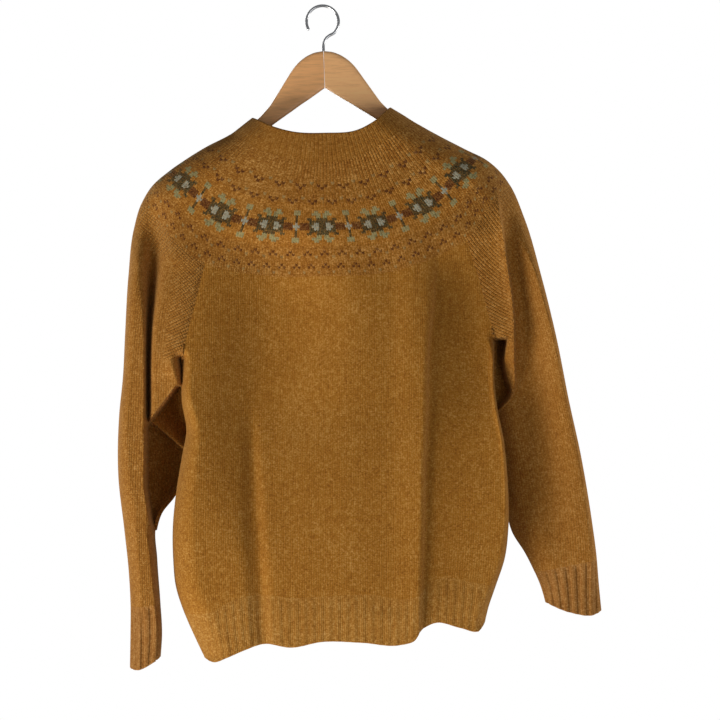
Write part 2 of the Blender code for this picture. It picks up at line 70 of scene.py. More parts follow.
# The garment's edges: x and z at each knot
edges = {
    "neckBack": [
        (-87.5, -139), (-65, -151), (-38, -159), (4, -161), (45, -157), (67, -145), (86, -126)],
    "neckFront": [
        (-87.5, -139), (-62, -160), (-30, -178), (4, -183), (38, -176), (66, -153), (86, -126)],
    "bandBack": [
        (-115, -159), (-73, -182), (-34, -193), (6, -196), (42, -190), (74, -173), (115, -143)],
    "bandFront": [
        (-115, -159), (-78, -192), (-36, -212), (6, -217), (46, -208), (80, -184), (115, -143)],
    "yokeBack": [
        (-227.5, -245), (-202, -269), (-171, -304), (-145, -321), (-90, -334), (4, -337), (98, -329),
        (147, -310), (180, -291), (206, -253), (236, -221)],
    "yokeFront": [
        (-227.5, -245), (-200, -276), (-172, -312), (-147, -331), (-90, -350), (4, -356), (98, -346),
        (149, -324), (182, -300), (208, -260), (236, -221)],
    "raglanBackLeft": [(-145, -321), (-158, -375), (-175.3, -441)],
    "raglanFrontLeft": [(-147, -331), (-160, -382), (-175.3, -441)],
    "raglanBackRight": [(180, -291), (197, -345), (216, -417)],
    "raglanFrontRight": [(182, -300), (199, -352), (216, -417)],
    "sideLeft": [
        (-175.3, -441), (-176, -468), (-175.5, -491), (-169.5, -531), (-174, -556), (-182.5, -608),
        (-186.5, -650), (-186, -690), (-183, -722), (-172, -757), (-158.5, -788), (-147, -812)],
    "sideRight": [
        (216, -417), (216, -471), (219, -499), (227, -540), (232, -590), (233, -650), (228.5, -688),
        (217.5, -722), (207.5, -752), (204, -767)],
    "outerLeft": [
        (-87.5, -139), (-115, -159), (-145, -174), (-170, -189), (-192, -204), (-214, -223),
        (-227.5, -245), (-237, -277), (-243, -335), (-247, -405), (-250, -462), (-255, -510),
        (-256, -588), (-248, -655), (-242.5, -705), (-240, -750), (-240, -785), (-240.5, -825)],
    "outerRight": [
        (86, -126), (115, -143), (150, -162), (180, -177), (208, -191), (225, -206), (236, -221),
        (254, -262), (276, -340), (294, -415), (309, -490), (325, -563), (338, -640), (344.5, -690),
        (347, -722), (350, -754)],
    "innerLeft": [
        (-175.3, -441), (-171, -470), (-169, -500), (-164, -531), (-168, -556), (-175, -590),
        (-187, -612), (-203, -633), (-208.5, -650), (-207, -690), (-203, -745), (-200.5, -785),
        (-202, -812)],
    "innerRight": [
        (216, -417), (216.6, -445), (214, -480), (217, -512), (222, -550), (227, -590), (231, -628),
        (238, -656), (254.5, -683), (266.5, -707), (274, -725), (279.5, -744)],
    "ribBack": [
        (-172, -757), (-137, -753), (-112, -739), (-71, -731), (-40, -735), (4, -733), (62, -731),
        (106, -736), (122, -731), (132, -717), (150, -711), (185, -716), (217.5, -722)],
    "ribFront": [
        (-172, -757), (-120, -742), (-60, -728), (10, -731), (70, -722), (112, -717), (142, -709),
        (180, -713), (217.5, -722)],
    "hemBack": [
        (-147, -812), (-136, -815), (-118, -809), (-97, -800), (-72, -792), (-37, -796), (0, -789),
        (50, -790), (96, -793), (114, -788), (126, -773), (140, -766), (172, -772), (194, -776),
        (204, -767)],
    "hemFront": [
        (-147, -812), (-132, -809), (-110, -800), (-60, -785), (10, -785), (70, -778), (112, -770),
        (142, -761), (180, -766), (204, -767)],
    "cuffTopLeft": [(-240, -750), (-203, -745)],
    "cuffEndLeft": [(-240.5, -825), (-232, -826), (-202, -812)],
    "cuffTopRight": [(344.5, -690), (266.5, -707)],
    "cuffEndRight": [(350, -754), (339, -758.5), (310, -755.5), (279.5, -744)],
}
# the knots where another seam or a rib meets an edge
marks = {
    "yokeBack": {"left": 3, "right": 8}, "yokeFront": {"left": 3, "right": 8},
    "sideLeft": {"rib": 9}, "sideRight": {"rib": 7},
    "outerLeft": {"band": 1, "yoke": 6, "cuff": 15}, "outerRight": {"band": 1, "yoke": 6, "cuff": 13},
    "innerLeft": {"cuff": 10}, "innerRight": {"cuff": 9},
}


def edge(name, t, first="start", last="end"):
    # points at the fractions t of an edge, between two of its marks
    knots = np.array(edges[name], float)
    at = {"start": 0, "end": -1, **marks.get(name, {})}
    s = travelled(knots)
    s = s / s[-1]
    low, high = s[at[first]], s[at[last]]
    return curvePoints(knots, low + (high - low) * np.asarray(t, float))


def edgeLine(name, count=120):
    # so many points along a whole edge
    return edge(name, np.linspace(0, 1, count))


def distanceTo(points, line):
    # the smallest distance to any of a line's straight pieces
    x, z = points[..., 0], points[..., 1]
    best = np.full(x.shape, 1e12)
    for (xa, za), (xb, zb) in zip(line[:-1], line[1:]):
        dx, dz = xb - xa, zb - za
        share = np.clip(((x - xa) * dx + (z - za) * dz) / (dx * dx + dz * dz), 0, 1)
        best = np.minimum(best, (x - xa - share * dx)**2 + (z - za - share * dz)**2)
    return np.sqrt(best)


def foldDistance(points, name):
    # distance to an outer fold: level distance times the fold's slant close by, true distance further in
    fine = edgeLine(name, 3000)
    closeBy, blendOver = 3, 12
    slant = np.gradient(fine[:, 1]) / np.hypot(*np.gradient(fine, axis=0).T)
    z = points[..., 1]
    level = np.abs(points[..., 0] - np.interp(-z, -fine[:, 1], fine[:, 0]))
    level = level * np.abs(np.interp(-z, -fine[:, 1], slant))
    true = distanceTo(points, edgeLine(name))
    within = (z < fine[0, 1] + 0.01) & (z > fine[-1, 1] - 0.01)
    share = np.where(within, smoothStep((true - closeBy) / blendOver), 1)
    return level + (true - level) * share


def inside(points, polygon):
    # True for the points inside a polygon, by counting the sides to their right
    x, z = points[..., 0], points[..., 1]
    result = np.zeros(x.shape, bool)
    for (xa, za), (xb, zb) in zip(polygon, polygon[1:] + polygon[:1]):
        crosses = (za > z) != (zb > z)
        result ^= crosses & (x < (xb - xa) * (z - za) / (zb - za + 1e-12) + xa)
    return result


def table(rows, z):
    # the columns of a table of heights, read at the heights z
    rows = np.array(rows, float)[::-1]
    return [np.interp(z, rows[:, 0], column) for column in rows.T[1:]]


def softTable(rows, z, reach=14):
    # the same, averaged over a little height, so that a fold bends without corners
    return [sum(parts) / 3 for parts in zip(*(table(rows, z + d) for d in (-reach, 0, reach)))]


# How the cloth hangs
drape = {
    "bow": (26, 230, 235),         # how far the hanger bows forward, at which x, up to which x
    "bowFade": (0.5, 250, 120),    # how much of that is lost, from how far down, over what height
    "bodyFade": (0.85, 447, 100),  # the same again, for the body below its arms
    "raglanBlend": 55,             # how far from its seam a sleeve takes on its own depth
    "raglanDip": (0.9, 3.5),       # how deep the raglan seams draw in, and over what distance
    "swingBlend": 30,              # as raglanBlend, for the way a sleeve swings forward
    "armpitBlend": 6,              # as raglanBlend, from the body's side fold to the sleeve's inner fold
    "foldBlend": 40,               # over what distance the outer fold's reach gives way to the inner one's
    "foldFade": 10,                # how close to an outer fold the other folds begin to fade
    "tuckEdge": 3,                 # over what distance the slack turns in
    "tuckRound": 12,               # how far in from a fold the tucked part goes on bulging
    # z, how far behind the front the tucked part lies: left, right
    "tuckDepth": [(-441, -14, -14), (-468, -14, -5), (-500, -14, 3)],
    "tuckPleat": ((-216, -517), (-172, -553), 24, 13, 1.5),   # from, to, rise, width above, below
    # z, how far in from its left and its right fold the body goes on bulging
    "bodyReach": [(-120, 34, 34), (-200, 42, 38), (-290, 50, 44), (-390, 24, 26), (-425, 14, 4),
                  (-480, 14, 4), (-560, 24, 5), (-700, 34, 10), (-800, 38, 16)],
    "frontReach": 110,           # the same for its front, all the way
    "reachBlend": (-60, 120),    # the x between which the left reach gives way to the right one
    # z, back, front
    "bodyDepth": [
        (-120, 44, 40), (-200, 42, 42), (-280, 40, 42), (-360, 45, 44), (-450, 50, 46),
        (-600, 53, 48), (-740, 53, 48), (-800, 46, 42)],
    # z, how far in from the outer and from the inner fold it goes on bulging, back, front, swing forward
    "sleeveDepthLeft": [
        (-220, 60, 60, 40, 36, 0), (-290, 24, 52, 40, 36, 2), (-330, 14, 48, 41, 36, 3),
        (-400, 14, 26, 43, 34, 5), (-441, 14, 5, 44, 34, 6), (-480, 14, 5, 46, 32, 10),
        (-520, 14, 22, 48, 30, 14), (-600, 20, 22, 48, 30, 12), (-660, 24, 8, 44, 40, 4),
        (-745, 22, 5, 42, 42, 0), (-790, 18, 5, 34, 34, -4), (-825, 17, 5, 32, 32, -6)],
    "sleeveDepthRight": [
        (-200, 60, 60, 40, 36, 0), (-270, 30, 56, 40, 36, 1), (-320, 10, 50, 40, 36, 2),
        (-416, 6, 30, 42, 36, 2), (-500, 6, 24, 40, 34, 6), (-600, 6, 40, 32, 30, 8),
        (-690, 9, 32, 26, 26, 4), (-725, 16, 30, 20, 20, 0), (-760, 22, 30, 18, 18, -2)],
    # the outline of what is tucked away under the arm: x, z
    "tuckLeft": [
        (-140, -474), (-180, -474), (-213, -516), (-220, -524), (-220, -600),
        (-214, -640), (-208, -660), (-140, -660)],
    "tuckRight": [
        (200, -416), (230.6, -416), (229, -424), (226.3, -441), (227.5, -453), (230.6, -466),
        (233.8, -473), (235.4, -479), (233, -486), (228, -492), (220, -502), (200, -503)],
}

# Folds: z, x, rise (a negative one is a valley), width to its left, width to its right
backFolds = {
    "panelValley": [
        (-280, -62, 0, 60, 60), (-310, -58, -20, 66, 62), (-366, -56, -33, 70, 74),
        (-430, -66, -35, 64, 94), (-504, -75, -29, 58, 104), (-579, -86, -16, 46, 80),
        (-640, -86, -6, 40, 60), (-680, -84, 0, 40, 50)],
    "panelCrease": [
        (-500, -87, 0, 10, 7), (-560, -86, -6, 10, 7), (-640, -82, -8, 14, 9),
        (-700, -77, -8, 14, 9), (-815, -69, -7, 12, 8)],
    "panelStep": [
        (-290, 147, 0, 8, 70), (-340, 145, -7, 8, 110), (-366, 142, -9, 6, 130),
        (-430, 134.5, -10, 4, 160), (-504, 133, -9, 4, 160), (-578, 130, -9, 4, 160),
        (-653, 128.5, -8, 4, 180), (-728, 126, -7, 4, 180), (-800, 125, -6, 4, 180)],
    "stepRidge": [
        (-320, 139, 0, 20, 4), (-366, 137.5, 4, 20, 4), (-430, 130.5, 5.5, 20, 3.5),
        (-504, 129.5, 5.5, 20, 3.5), (-578, 126.5, 5.5, 22, 3.5), (-653, 125, 5, 22, 3.5),
        (-728, 122.5, 5, 22, 3.5), (-830, 121, 3, 22, 4)],
    "sideLean": [
        (-285, 186, 0, 50, 50), (-320, 186, -14, 50, 50), (-360, 187, -21, 50, 50),
        (-430, 188, -18, 50, 50), (-504, 192, -11, 54, 50), (-600, 200, -6, 60, 50),
        (-700, 198, -4, 60, 50), (-760, 190, -2, 50, 50)],
    "centreDip": [
        (-290, 84, 0, 40, 24), (-330, 84, -9, 40, 24), (-380, 84, -8, 40, 24),
        (-430, 84, -6, 38, 24), (-504, 84, -4.5, 36, 24), (-580, 84, -3, 34, 24),
        (-640, 86, -3, 34, 24), (-740, 86, -2, 30, 24)],
    "leftGroove": [
        (-236, -207, 0, 14, 14), (-262, -209, -12, 14, 15), (-291, -210, -20, 13, 17),
        (-328, -212.5, -29, 9, 11), (-366, -214.5, -35, 5, 7), (-400, -217, -38, 2.2, 5),
        (-454, -218, -38, 1.6, 4.5), (-510, -218, -38, 1.6, 4.5), (-545, -219, 0, 1.6, 4.5)],
    "rightRidge": [
        (-225, 218, 0, 7, 1.6), (-260, 221.5, 10, 7, 1.6), (-291, 226, 13, 6.5, 1.6),
        (-322, 230, 15, 6.5, 1.6), (-347, 234, 15, 6.5, 1.6), (-366, 236.5, 15, 6.5, 1.6),
        (-391, 238.3, 15, 6.5, 1.6), (-422, 238.7, 15, 6, 1.6), (-441, 239, 14, 6, 1.6),
        (-466, 240, 12, 5, 1.6), (-478, 240, 9, 4, 1.6), (-487, 236.5, 7, 3.5, 1.6),
        (-494, 231, 6, 3.5, 1.6), (-503, 222, 5, 3.5, 1.6), (-510, 215, 0, 3.5, 1.6)],
    "rightValley": [
        (-225, 226, 0, 10, 14), (-260, 232, -7, 12, 16), (-291, 239, -12, 13, 16),
        (-330, 246, -15, 14, 18), (-366, 252, -18, 16, 20), (-429, 261, -19, 22, 20),
        (-504, 269, -18, 30, 20), (-579, 278, -12, 38, 22), (-640, 284, -6, 40, 22),
        (-700, 290, 0, 40, 22)],
    "rightSwell": [
        (-225, 264, 0, 50, 16), (-300, 279, 4, 50, 16), (-354, 291, 7, 50, 16),
        (-429, 307, 9, 54, 16), (-504, 323, 10, 58, 16), (-579, 338, 10, 62, 16),
        (-640, 347, 10, 64, 16), (-700, 354, 7, 60, 16), (-775, 358, 3, 56, 16)],
}
frontFolds = {
    "leftPleat": [
        (-330, -70, 0, 16, 46), (-420, -78, -13, 13, 50), (-560, -88, -20, 10, 52),
        (-700, -92, -18, 10, 44), (-815, -90, -13, 10, 36)],
    "rightPleat": [
        (-320, 110, 0, 46, 20), (-440, 104, -15, 50, 14), (-600, 98, -22, 52, 10),
        (-740, 95, -17, 44, 10), (-800, 95, -13, 40, 10)],
    "centreDip": [
        (-380, 12, 0, 26, 26), (-500, 10, -6, 26, 26), (-700, 6, -5, 24, 24),
        (-800, 4, -3, 22, 22)],
    "leftSleeveDip": [
        (-300, -205, 0, 16, 16), (-400, -212, -9, 14, 18), (-520, -222, -8, 14, 16),
        (-640, -228, 0, 12, 12)],
    "rightSleeveDip": [
        (-290, 238, 0, 18, 16), (-400, 256, -9, 18, 16), (-560, 276, -9, 18, 18),
        (-670, 292, 0, 18, 16)],
}
creasedFolds = ("rightRidge", "stepRidge")
foldSoftness = {"rightRidge": 5}   # over what height its table is averaged, if not 14
foldEnds = 20                      # over what height a fold rises and ends


def bulge(distance, reach):
    # a quarter ellipse: 0 at the outer fold, 1 from the reach on
    return np.sqrt(np.clip(1 - (1 - np.clip(distance / reach, 0, 1))**2, 0, 1))


def foldDepth(points, folds):
    # each fold is a bell across its path, with a width of its own to each side. A creased one comes
    # to an edge instead on its left: e to the minus distance over width
    x, z = points[..., 0], points[..., 1]
    total = np.zeros(x.shape)
    for name, rows in folds.items():
        centre, rise, left, right = softTable(rows, z, foldSoftness.get(name, 14))
        top, bottom = rows[0][0] + 10, rows[-1][0] - 25
        rise = rise * smoothStep((top - z) / foldEnds) * smoothStep((z - bottom) / foldEnds)
        across = np.abs(x - centre) / np.where(x < centre, left, right)
        creased = (x < centre) & (name in creasedFolds)
        total += rise * np.exp(-np.where(creased, across, across**2))
    return total


def kept(z, lost, fromDown, over):
    # what is left of a value that loses a share of itself on the way down
    return 1 - lost * smoothStep((-z - fromDown) / over)


def seamOf(side, face):
    # the line where a sleeve meets the yoke and the body
    between = ("start", "left") if side == "Left" else ("right", "end")
    arc = edge(f"yoke{face}", np.linspace(0, 1, 48), *between)
    if side == "Right":
        arc = arc[::-1]
    return np.vstack([arc, edgeLine(f"raglan{face}{side}", 48)[1:]])


def place(points, face, sleeve=None):
    # lift points of the flat outline (x, z) to the cloth's back or front: y = middle -/+ depth,
    # depth = the table's depth times the bulge, plus the folds
    x, z = points[..., 0], points[..., 1]
    outer = np.minimum(foldDistance(points, "outerLeft"), foldDistance(points, "outerRight"))
    column = 0 if face == "Back" else 1
    leftReach, rightReach = softTable(drape["bodyReach"], z)
    fromX, toX = drape["reachBlend"]
    reach = leftReach + (rightReach - leftReach) * smoothStep((x - fromX) / (toX - fromX))
    if face == "Front":
        reach[:] = drape["frontReach"]
    depth = softTable(drape["bodyDepth"], z)[column]
    bowReach, bowAt, bowLimit = drape["bow"]
    middle = bowReach * (np.clip(x, -bowLimit, bowLimit) / bowAt)**2 * kept(z, *drape["bowFade"])
    if sleeve:
        seam = distanceTo(points, seamOf(sleeve, face))
        share = smoothStep(seam / drape["raglanBlend"])
        inner = foldDistance(points, f"side{sleeve}")
        inner += (foldDistance(points, f"inner{sleeve}") - inner) * smoothStep(seam / drape["armpitBlend"])
        fold = np.minimum(outer, inner)
        own = softTable(drape[f"sleeveDepth{sleeve}"], z)
        ownReach = own[0] + (own[1] - own[0]) * smoothStep((outer - inner) / drape["foldBlend"] + 0.5)
        reach += (ownReach - reach) * share
        depth += (own[2 + column] - depth) * share
        middle += own[4] * smoothStep(seam / drape["swingBlend"])
    else:
        fold = np.minimum(outer, np.minimum(foldDistance(points, "sideLeft"),
                                            foldDistance(points, "sideRight")))
        middle *= kept(z, *drape["bodyFade"])
    depth = depth * bulge(fold, reach)
    depth += foldDepth(points, backFolds if face == "Back" else frontFolds) * bulge(fold, drape["foldFade"])
    if sleeve and face == "Back":
        tuck = drape[f"tuck{sleeve}"]
        signed = distanceTo(points, np.array(tuck + tuck[:1])) * np.where(inside(points, tuck), 1, -1)
        tucked = smoothStep(0.5 + signed / drape["tuckEdge"]) * smoothStep(seam / drape["tuckEdge"])
        turnedIn = softTable(drape["tuckDepth"], z)[0 if sleeve == "Left" else 1]
        (xa, za), (xb, zb), rise, above, below = drape["tuckPleat"]
        over = ((z - za) * (xb - xa) - (x - xa) * (zb - za)) / math.hypot(xb - xa, zb - za)
        pleat = rise * np.exp(-(over / np.where(over > 0, above, below))**2) * (sleeve == "Left")
        depth += ((turnedIn + pleat) * bulge(fold, drape["tuckRound"]) - depth) * tucked
    deep, wide = drape["raglanDip"]
    for side in ("Left", "Right"):
        depth -= deep * np.exp(-(distanceTo(points, edgeLine(f"raglan{face}{side}", 40)) / wide)**2)
    y = middle - depth if face == "Back" else middle + depth
    return np.stack([x, y, z], -1)


def patch(top, bottom, left, right, u, v, holdTop=1.0, holdBottom=1.0):
    # straight across from the left edge to the right, bent to the top and bottom edges: the further
    # off, the less, by the powers holdTop and holdBottom of the way that is left
    u = np.asarray(u, float)[None, :, None]
    v = np.asarray(v, float)[:, None, None]
    across = (1 - u) * left[:, None] + u * right[:, None]
    bendTop = top[None] - (1 - u) * top[None, :1] - u * top[None, -1:]
    bendBottom = bottom[None] - (1 - u) * bottom[None, :1] - u * bottom[None, -1:]
    return across + bendTop * (1 - v)**holdTop + bendBottom * v**holdBottom


def even(count):
    # fractions from 0 to 1 in equal steps
    return np.linspace(0, 1, count + 1)


def gathered(count, share):
    # fractions that crowd towards both outer folds, where the cloth turns: a share of a cosine's wave
    t = even(count)
    return (1 - share) * t + share * (0.5 - 0.5 * np.cos(np.pi * t))


def ring(back, front):
    # a back grid and a front grid joined at the two outer folds
    return np.concatenate([back, front[:, -2:0:-1]], 1)


def unit(vectors):
    return vectors / np.maximum(np.linalg.norm(vectors, axis=-1), 1e-9)[..., None]


# how the normal of a ring, a panel or a sleeve is turned to face outwards
outwards = {"ring": -1, "Back": -1, "Front": 1, "Left": -1, "Right": 1}


def skinNormal(grid, closed, outward):
    # across times down, at each point of the grid, as a unit vector
    if closed:
        across = np.roll(grid, -1, 1) - np.roll(grid, 1, 1)
    else:
        across = np.gradient(grid, axis=1)
    return outward * unit(np.cross(across, np.gradient(grid, axis=0)))


def arcLength(grid, closed):
    # distance travelled along each row, one column more if the row closes on itself
    if closed:
        grid = np.concatenate([grid, grid[:, :1]], 1)
    steps = np.linalg.norm(np.diff(grid, axis=1), axis=-1)
    return np.concatenate([np.zeros((len(grid), 1)), np.cumsum(steps, 1)], 1)


def addMesh(name, vertices, quads, material, uv=None, sharp=50, slanted=None):
    # vertices in millimetres; uv counts stitches, slanted counts those beside a seam
    mesh = bpy.data.meshes.new(name)
    vertices = np.asarray(vertices, float).reshape(-1, 3) * mm
    quads = np.asarray(quads).reshape(-1, 4)
    mesh.vertices.add(len(vertices))
    mesh.vertices.foreach_set("co", vertices.ravel())
    mesh.loops.add(quads.size)
    mesh.loops.foreach_set("vertex_index", quads.ravel().astype(np.int32))
    mesh.polygons.add(len(quads))
    mesh.polygons.foreach_set("loop_start", np.arange(0, quads.size, 4, dtype=np.int32))
    mesh.update(calc_edges=True)
    if uv is not None:
        layer = mesh.uv_layers.new(name="stitches")
        layer.uv.foreach_set("vector", np.asarray(uv, float).ravel())
    if slanted is not None:
        layer = mesh.attributes.new("besideSeam", "FLOAT_VECTOR", "POINT")
        layer.data.foreach_set("vector", np.asarray(slanted, float).ravel())
    mesh.shade_smooth()
    mesh.set_sharp_from_angle(angle=math.radians(sharp))
    mesh.validate()
    mesh.materials.append(material)
    piece = bpy.data.objects.new(name, mesh)
    bpy.context.scene.collection.objects.link(piece)
    return piece


def loopQuads(rows, columns):
    # corners of the quads of a grid that closes on itself downwards: row, column, and whether to the right
    r, c = np.meshgrid(np.arange(rows), np.arange(columns), indexing="ij")
    right = np.broadcast_to([0, 1, 1, 0], (*r.shape, 4))
    return np.stack([r, r, r + 1, r + 1], -1), c[..., None] + 0 * right, right


def sides(uv):
    # what each face takes on its left and on its right
    return np.stack([uv[:, :-1], uv[:, 1:]], 2)


def openTube(rows, columns):
    # the quads between so many rings of points
    r, c, right = loopQuads(rows - 1, columns)
    return (r * columns + (c + right) % columns).reshape(-1, 4)


def closedTube(rows, columns):
    # the same, each end closed by a strip of quads
    near, far = np.arange(columns).reshape(2, -1)
    far = far[::-1]
    cap = np.stack([near[:-1], near[1:], far[1:], far[:-1]], -1)
    return np.concatenate([openTube(rows, columns), cap[:, ::-1], cap + (rows - 1) * columns])[:, ::-1]


def clothShell(name, wool, look, skin, normal, uv, outward, closed=True, slanted=None):
    # outer skin down, half-round lower rim, inner skin up, half-round upper rim.
    # A rim of n rows bulges by half the wall; one of none is a plain seam wall.
    wall = look["wall"]
    rimTop, rimBottom = look.get("rims", (0, 0))
    rims = []
    for count, end, beside in ((rimBottom, -1, -2), (rimTop, 0, 1)):
        turn = np.linspace(0, np.pi, count + 2)[1:-1, None, None]
        along = unit(skin[end] - skin[beside])
        rim = skin[end] - normal[end] * wall / 2 * (1 - np.cos(turn)) + along * wall / 2 * np.sin(turn)
        rims.append(rim if end == -1 else rim[::-1])
    lower, upper = rims
    inner = skin - normal * wall
    grid = np.concatenate([skin, lower, inner[::-1], upper])
    uv = np.concatenate([uv, np.repeat(uv[-1:], len(lower), 0), uv[::-1],
                         np.repeat(uv[:1], len(upper) + 1, 0)])
    rows, columns = grid.shape[:2]
    r, c, right = loopQuads(rows, uv.shape[1])
    quads = ((r % rows) * columns + (c + right) % columns).reshape(-1, 4)
    coords = uv[r, c, right].reshape(-1, 4, 2)
    if not closed:
        # the two side walls
        r = np.arange(len(skin) - 1)
        facing = 2 * len(skin) + len(lower) - 1
        wallRows = np.stack([r, facing - r, facing - r - 1, r + 1], -1)
        for column, face, right in ((0, 0, 0), (columns - 1, columns - 2, 1)):
            side = wallRows * columns + column
            sideUv = uv[np.stack([r, r, r + 1, r + 1], -1), face, right]
            if right:
                side, sideUv = side[:, ::-1], sideUv[:, ::-1]
            quads, coords = np.concatenate([quads, side]), np.concatenate([coords, sideUv])
    if outward < 0:
        quads, coords = quads[:, ::-1], coords[:, ::-1]
    if slanted is not None:
        slanted = np.concatenate([slanted, np.repeat(slanted[-1:], len(lower), 0), slanted[::-1],
                                  np.repeat(slanted[:1], len(upper), 0)])
    return addMesh(name, grid, quads, knitMaterial(wool, look["knit"]), coords, slanted=slanted)


def newGroup(name, inputs, outputs):
    # an empty node group with named sockets, and its two ends
    tree = bpy.data.node_groups.new(name, "ShaderNodeTree")
    for direction, sockets in (("INPUT", inputs), ("OUTPUT", outputs)):
        for label, kind in sockets.items():
            tree.interface.new_socket(name=label, in_out=direction, socket_type=f"NodeSocket{kind}")
    return tree, tree.nodes.new("NodeGroupInput").outputs, tree.nodes.new("NodeGroupOutput").inputs


def feed(tree, socket, value):
    # a socket takes a link or a plain value
    if isinstance(value, bpy.types.NodeSocket):
        tree.links.new(value, socket)
    else:
        socket.default_value = value


def calc(tree, operation, *values):
    # one step of arithmetic, with sockets or plain numbers
    node = addNode(tree, "Math")
    node.operation = operation
    for socket, value in zip(node.inputs, values):
        feed(tree, socket, value)
    return node.outputs[0]


def clamped(tree, value):
    return calc(tree, "MINIMUM", calc(tree, "MAXIMUM", value, 0.0), 1.0)


def blend(tree, share, first, second, how="MIX"):
    node = addNode(tree, "Mix")
    node.data_type = "RGBA"
    node.blend_type = how
    for index, value in ((0, share), (6, first), (7, second)):
        feed(tree, node.inputs[index], value)
    return node.outputs[2]


def feedAll(tree, node, **values):
    # several inputs by name, an underscore standing for a space
    for label, value in values.items():
        feed(tree, node.inputs[label.replace("_", " ")], value)
    return node


def addNode(tree, kind, **values):
    return feedAll(tree, tree.nodes.new(f"ShaderNode{kind}"), **values)


def useGroup(tree, group, **values):
    node = addNode(tree, "Group")
    node.node_tree = group
    return feedAll(tree, node, **values).outputs


def newMaterial(name, **values):
    # a material, its nodes and its shader
    material = bpy.data.materials.new(name)
    material.use_nodes = True
    tree = material.node_tree
    return material, tree, feedAll(tree, tree.nodes["Principled BSDF"], **values)


def addBump(tree, shader, height, strength, distance):
    # relief without moving the surface, its height in millimetres
    bump = addNode(tree, "Bump", Strength=strength, Distance=distance * mm, Height=height)
    tree.links.new(bump.outputs[0], shader.inputs["Normal"])


def noiseOf(tree, vector, scale, detail=2.0, roughness=0.5):
    node = addNode(tree, "TexNoise", Vector=vector, Scale=scale, Detail=detail, Roughness=roughness)
    return node.outputs[0]


def ramp(tree, value, stops, interpolation="LINEAR"):
    # stops: place, colour
    node = addNode(tree, "ValToRGB")
    node.color_ramp.interpolation = interpolation
    elements = node.color_ramp.elements
    while len(elements) < len(stops):
        elements.new(1)
    for element, (at, colour) in zip(elements, sorted(stops)):
        element.position = at
        element.color = colour
    feed(tree, node.inputs[0], value)
    return node.outputs


def linear(red, green, blue):
    # a display colour, 0 to 255, as a shader's colour
    return (*[float(((c / 255 + 0.055) / 1.055)**2.4) for c in (red, green, blue)], 1.0)


legSlip = 0.45   # how far a stitch's legs slip from its middle to its sides, in rows


def makeStitchRelief():
    # Two slanted legs to a stitch: sine across the leg, shallow between a stitch's own legs and deep
    # between wales, times a sine along the wale whose phase slips outwards, plus loose fibres
    tree, given, made = newGroup(
        "stitchRelief", {"Wale": "Float", "Row": "Float", "Position": "Vector", "Fibre": "Float"},
        {"Height": "Float", "Cell Row": "Float"})
    do = functools.partial(calc, tree)
    fromCentre = do("MULTIPLY", do("ABSOLUTE", do("SUBTRACT", do("FRACT", given["Wale"]), 0.5)), 2.0)
    leg = do("SINE", do("MULTIPLY_ADD", fromCentre, 0.72 * math.pi, 0.28 * math.pi))
    slipped = do("MULTIPLY_ADD", fromCentre, legSlip, given["Row"])
    strand = do("SINE", do("MULTIPLY", do("FRACT", slipped), math.pi))
    relief = do("MULTIPLY", leg, do("MULTIPLY_ADD", strand, 0.4, 0.6))
    fibre = noiseOf(tree, given["Position"], 1700.0, 2.0)
    fuzzy = do("MULTIPLY_ADD", fibre, given["Fibre"], relief)
    tree.links.new(fuzzy, made["Height"])
    tree.links.new(do("FLOOR", slipped), made["Cell Row"])
    return tree


def makeHeather():
    # A stitch's own tint, fine fibres and slow mottling, from the yarn's dark through its middle to its light
    tree, given, made = newGroup(
        "heather", {"Wale": "Float", "Cell Row": "Float", "Position": "Vector",
                    "Dark": "Color", "Middle": "Color", "Light": "Color", "Contrast": "Float"},
        {"Colour": "Color"})
    do = functools.partial(calc, tree)
    cell = addNode(tree, "CombineXYZ", X=do("FLOOR", given["Wale"]), Y=given["Cell Row"])
    own = addNode(tree, "TexWhiteNoise", Vector=cell.outputs[0]).outputs["Value"]
    position = given["Position"]
    flattened = addNode(tree, "Mapping", Vector=position, Scale=(1, 1, 1.35)).outputs[0]
    fibre = noiseOf(tree, flattened, 430.0, 3.0, 0.6)
    mottle = noiseOf(tree, position, 95.0, 3.0, 0.6)
    slow = noiseOf(tree, position, 16.0, 2.0)
    total = 0.0
    for value, amount in ((own, 0.3), (fibre, 2.4), (mottle, 0.5), (slow, 0.3)):
        total = do("MULTIPLY_ADD", do("SUBTRACT", value, 0.5), amount, total)
    tone = do("MULTIPLY_ADD", total, given["Contrast"], 0.5)
    low = clamped(tree, do("MULTIPLY", tone, 2.0))
    high = clamped(tree, do("MULTIPLY_ADD", tone, 2.0, -1.0))
    mixed = blend(tree, high, blend(tree, low, given["Dark"], given["Middle"]), given["Light"])
    tree.links.new(mixed, made["Colour"])
    return tree


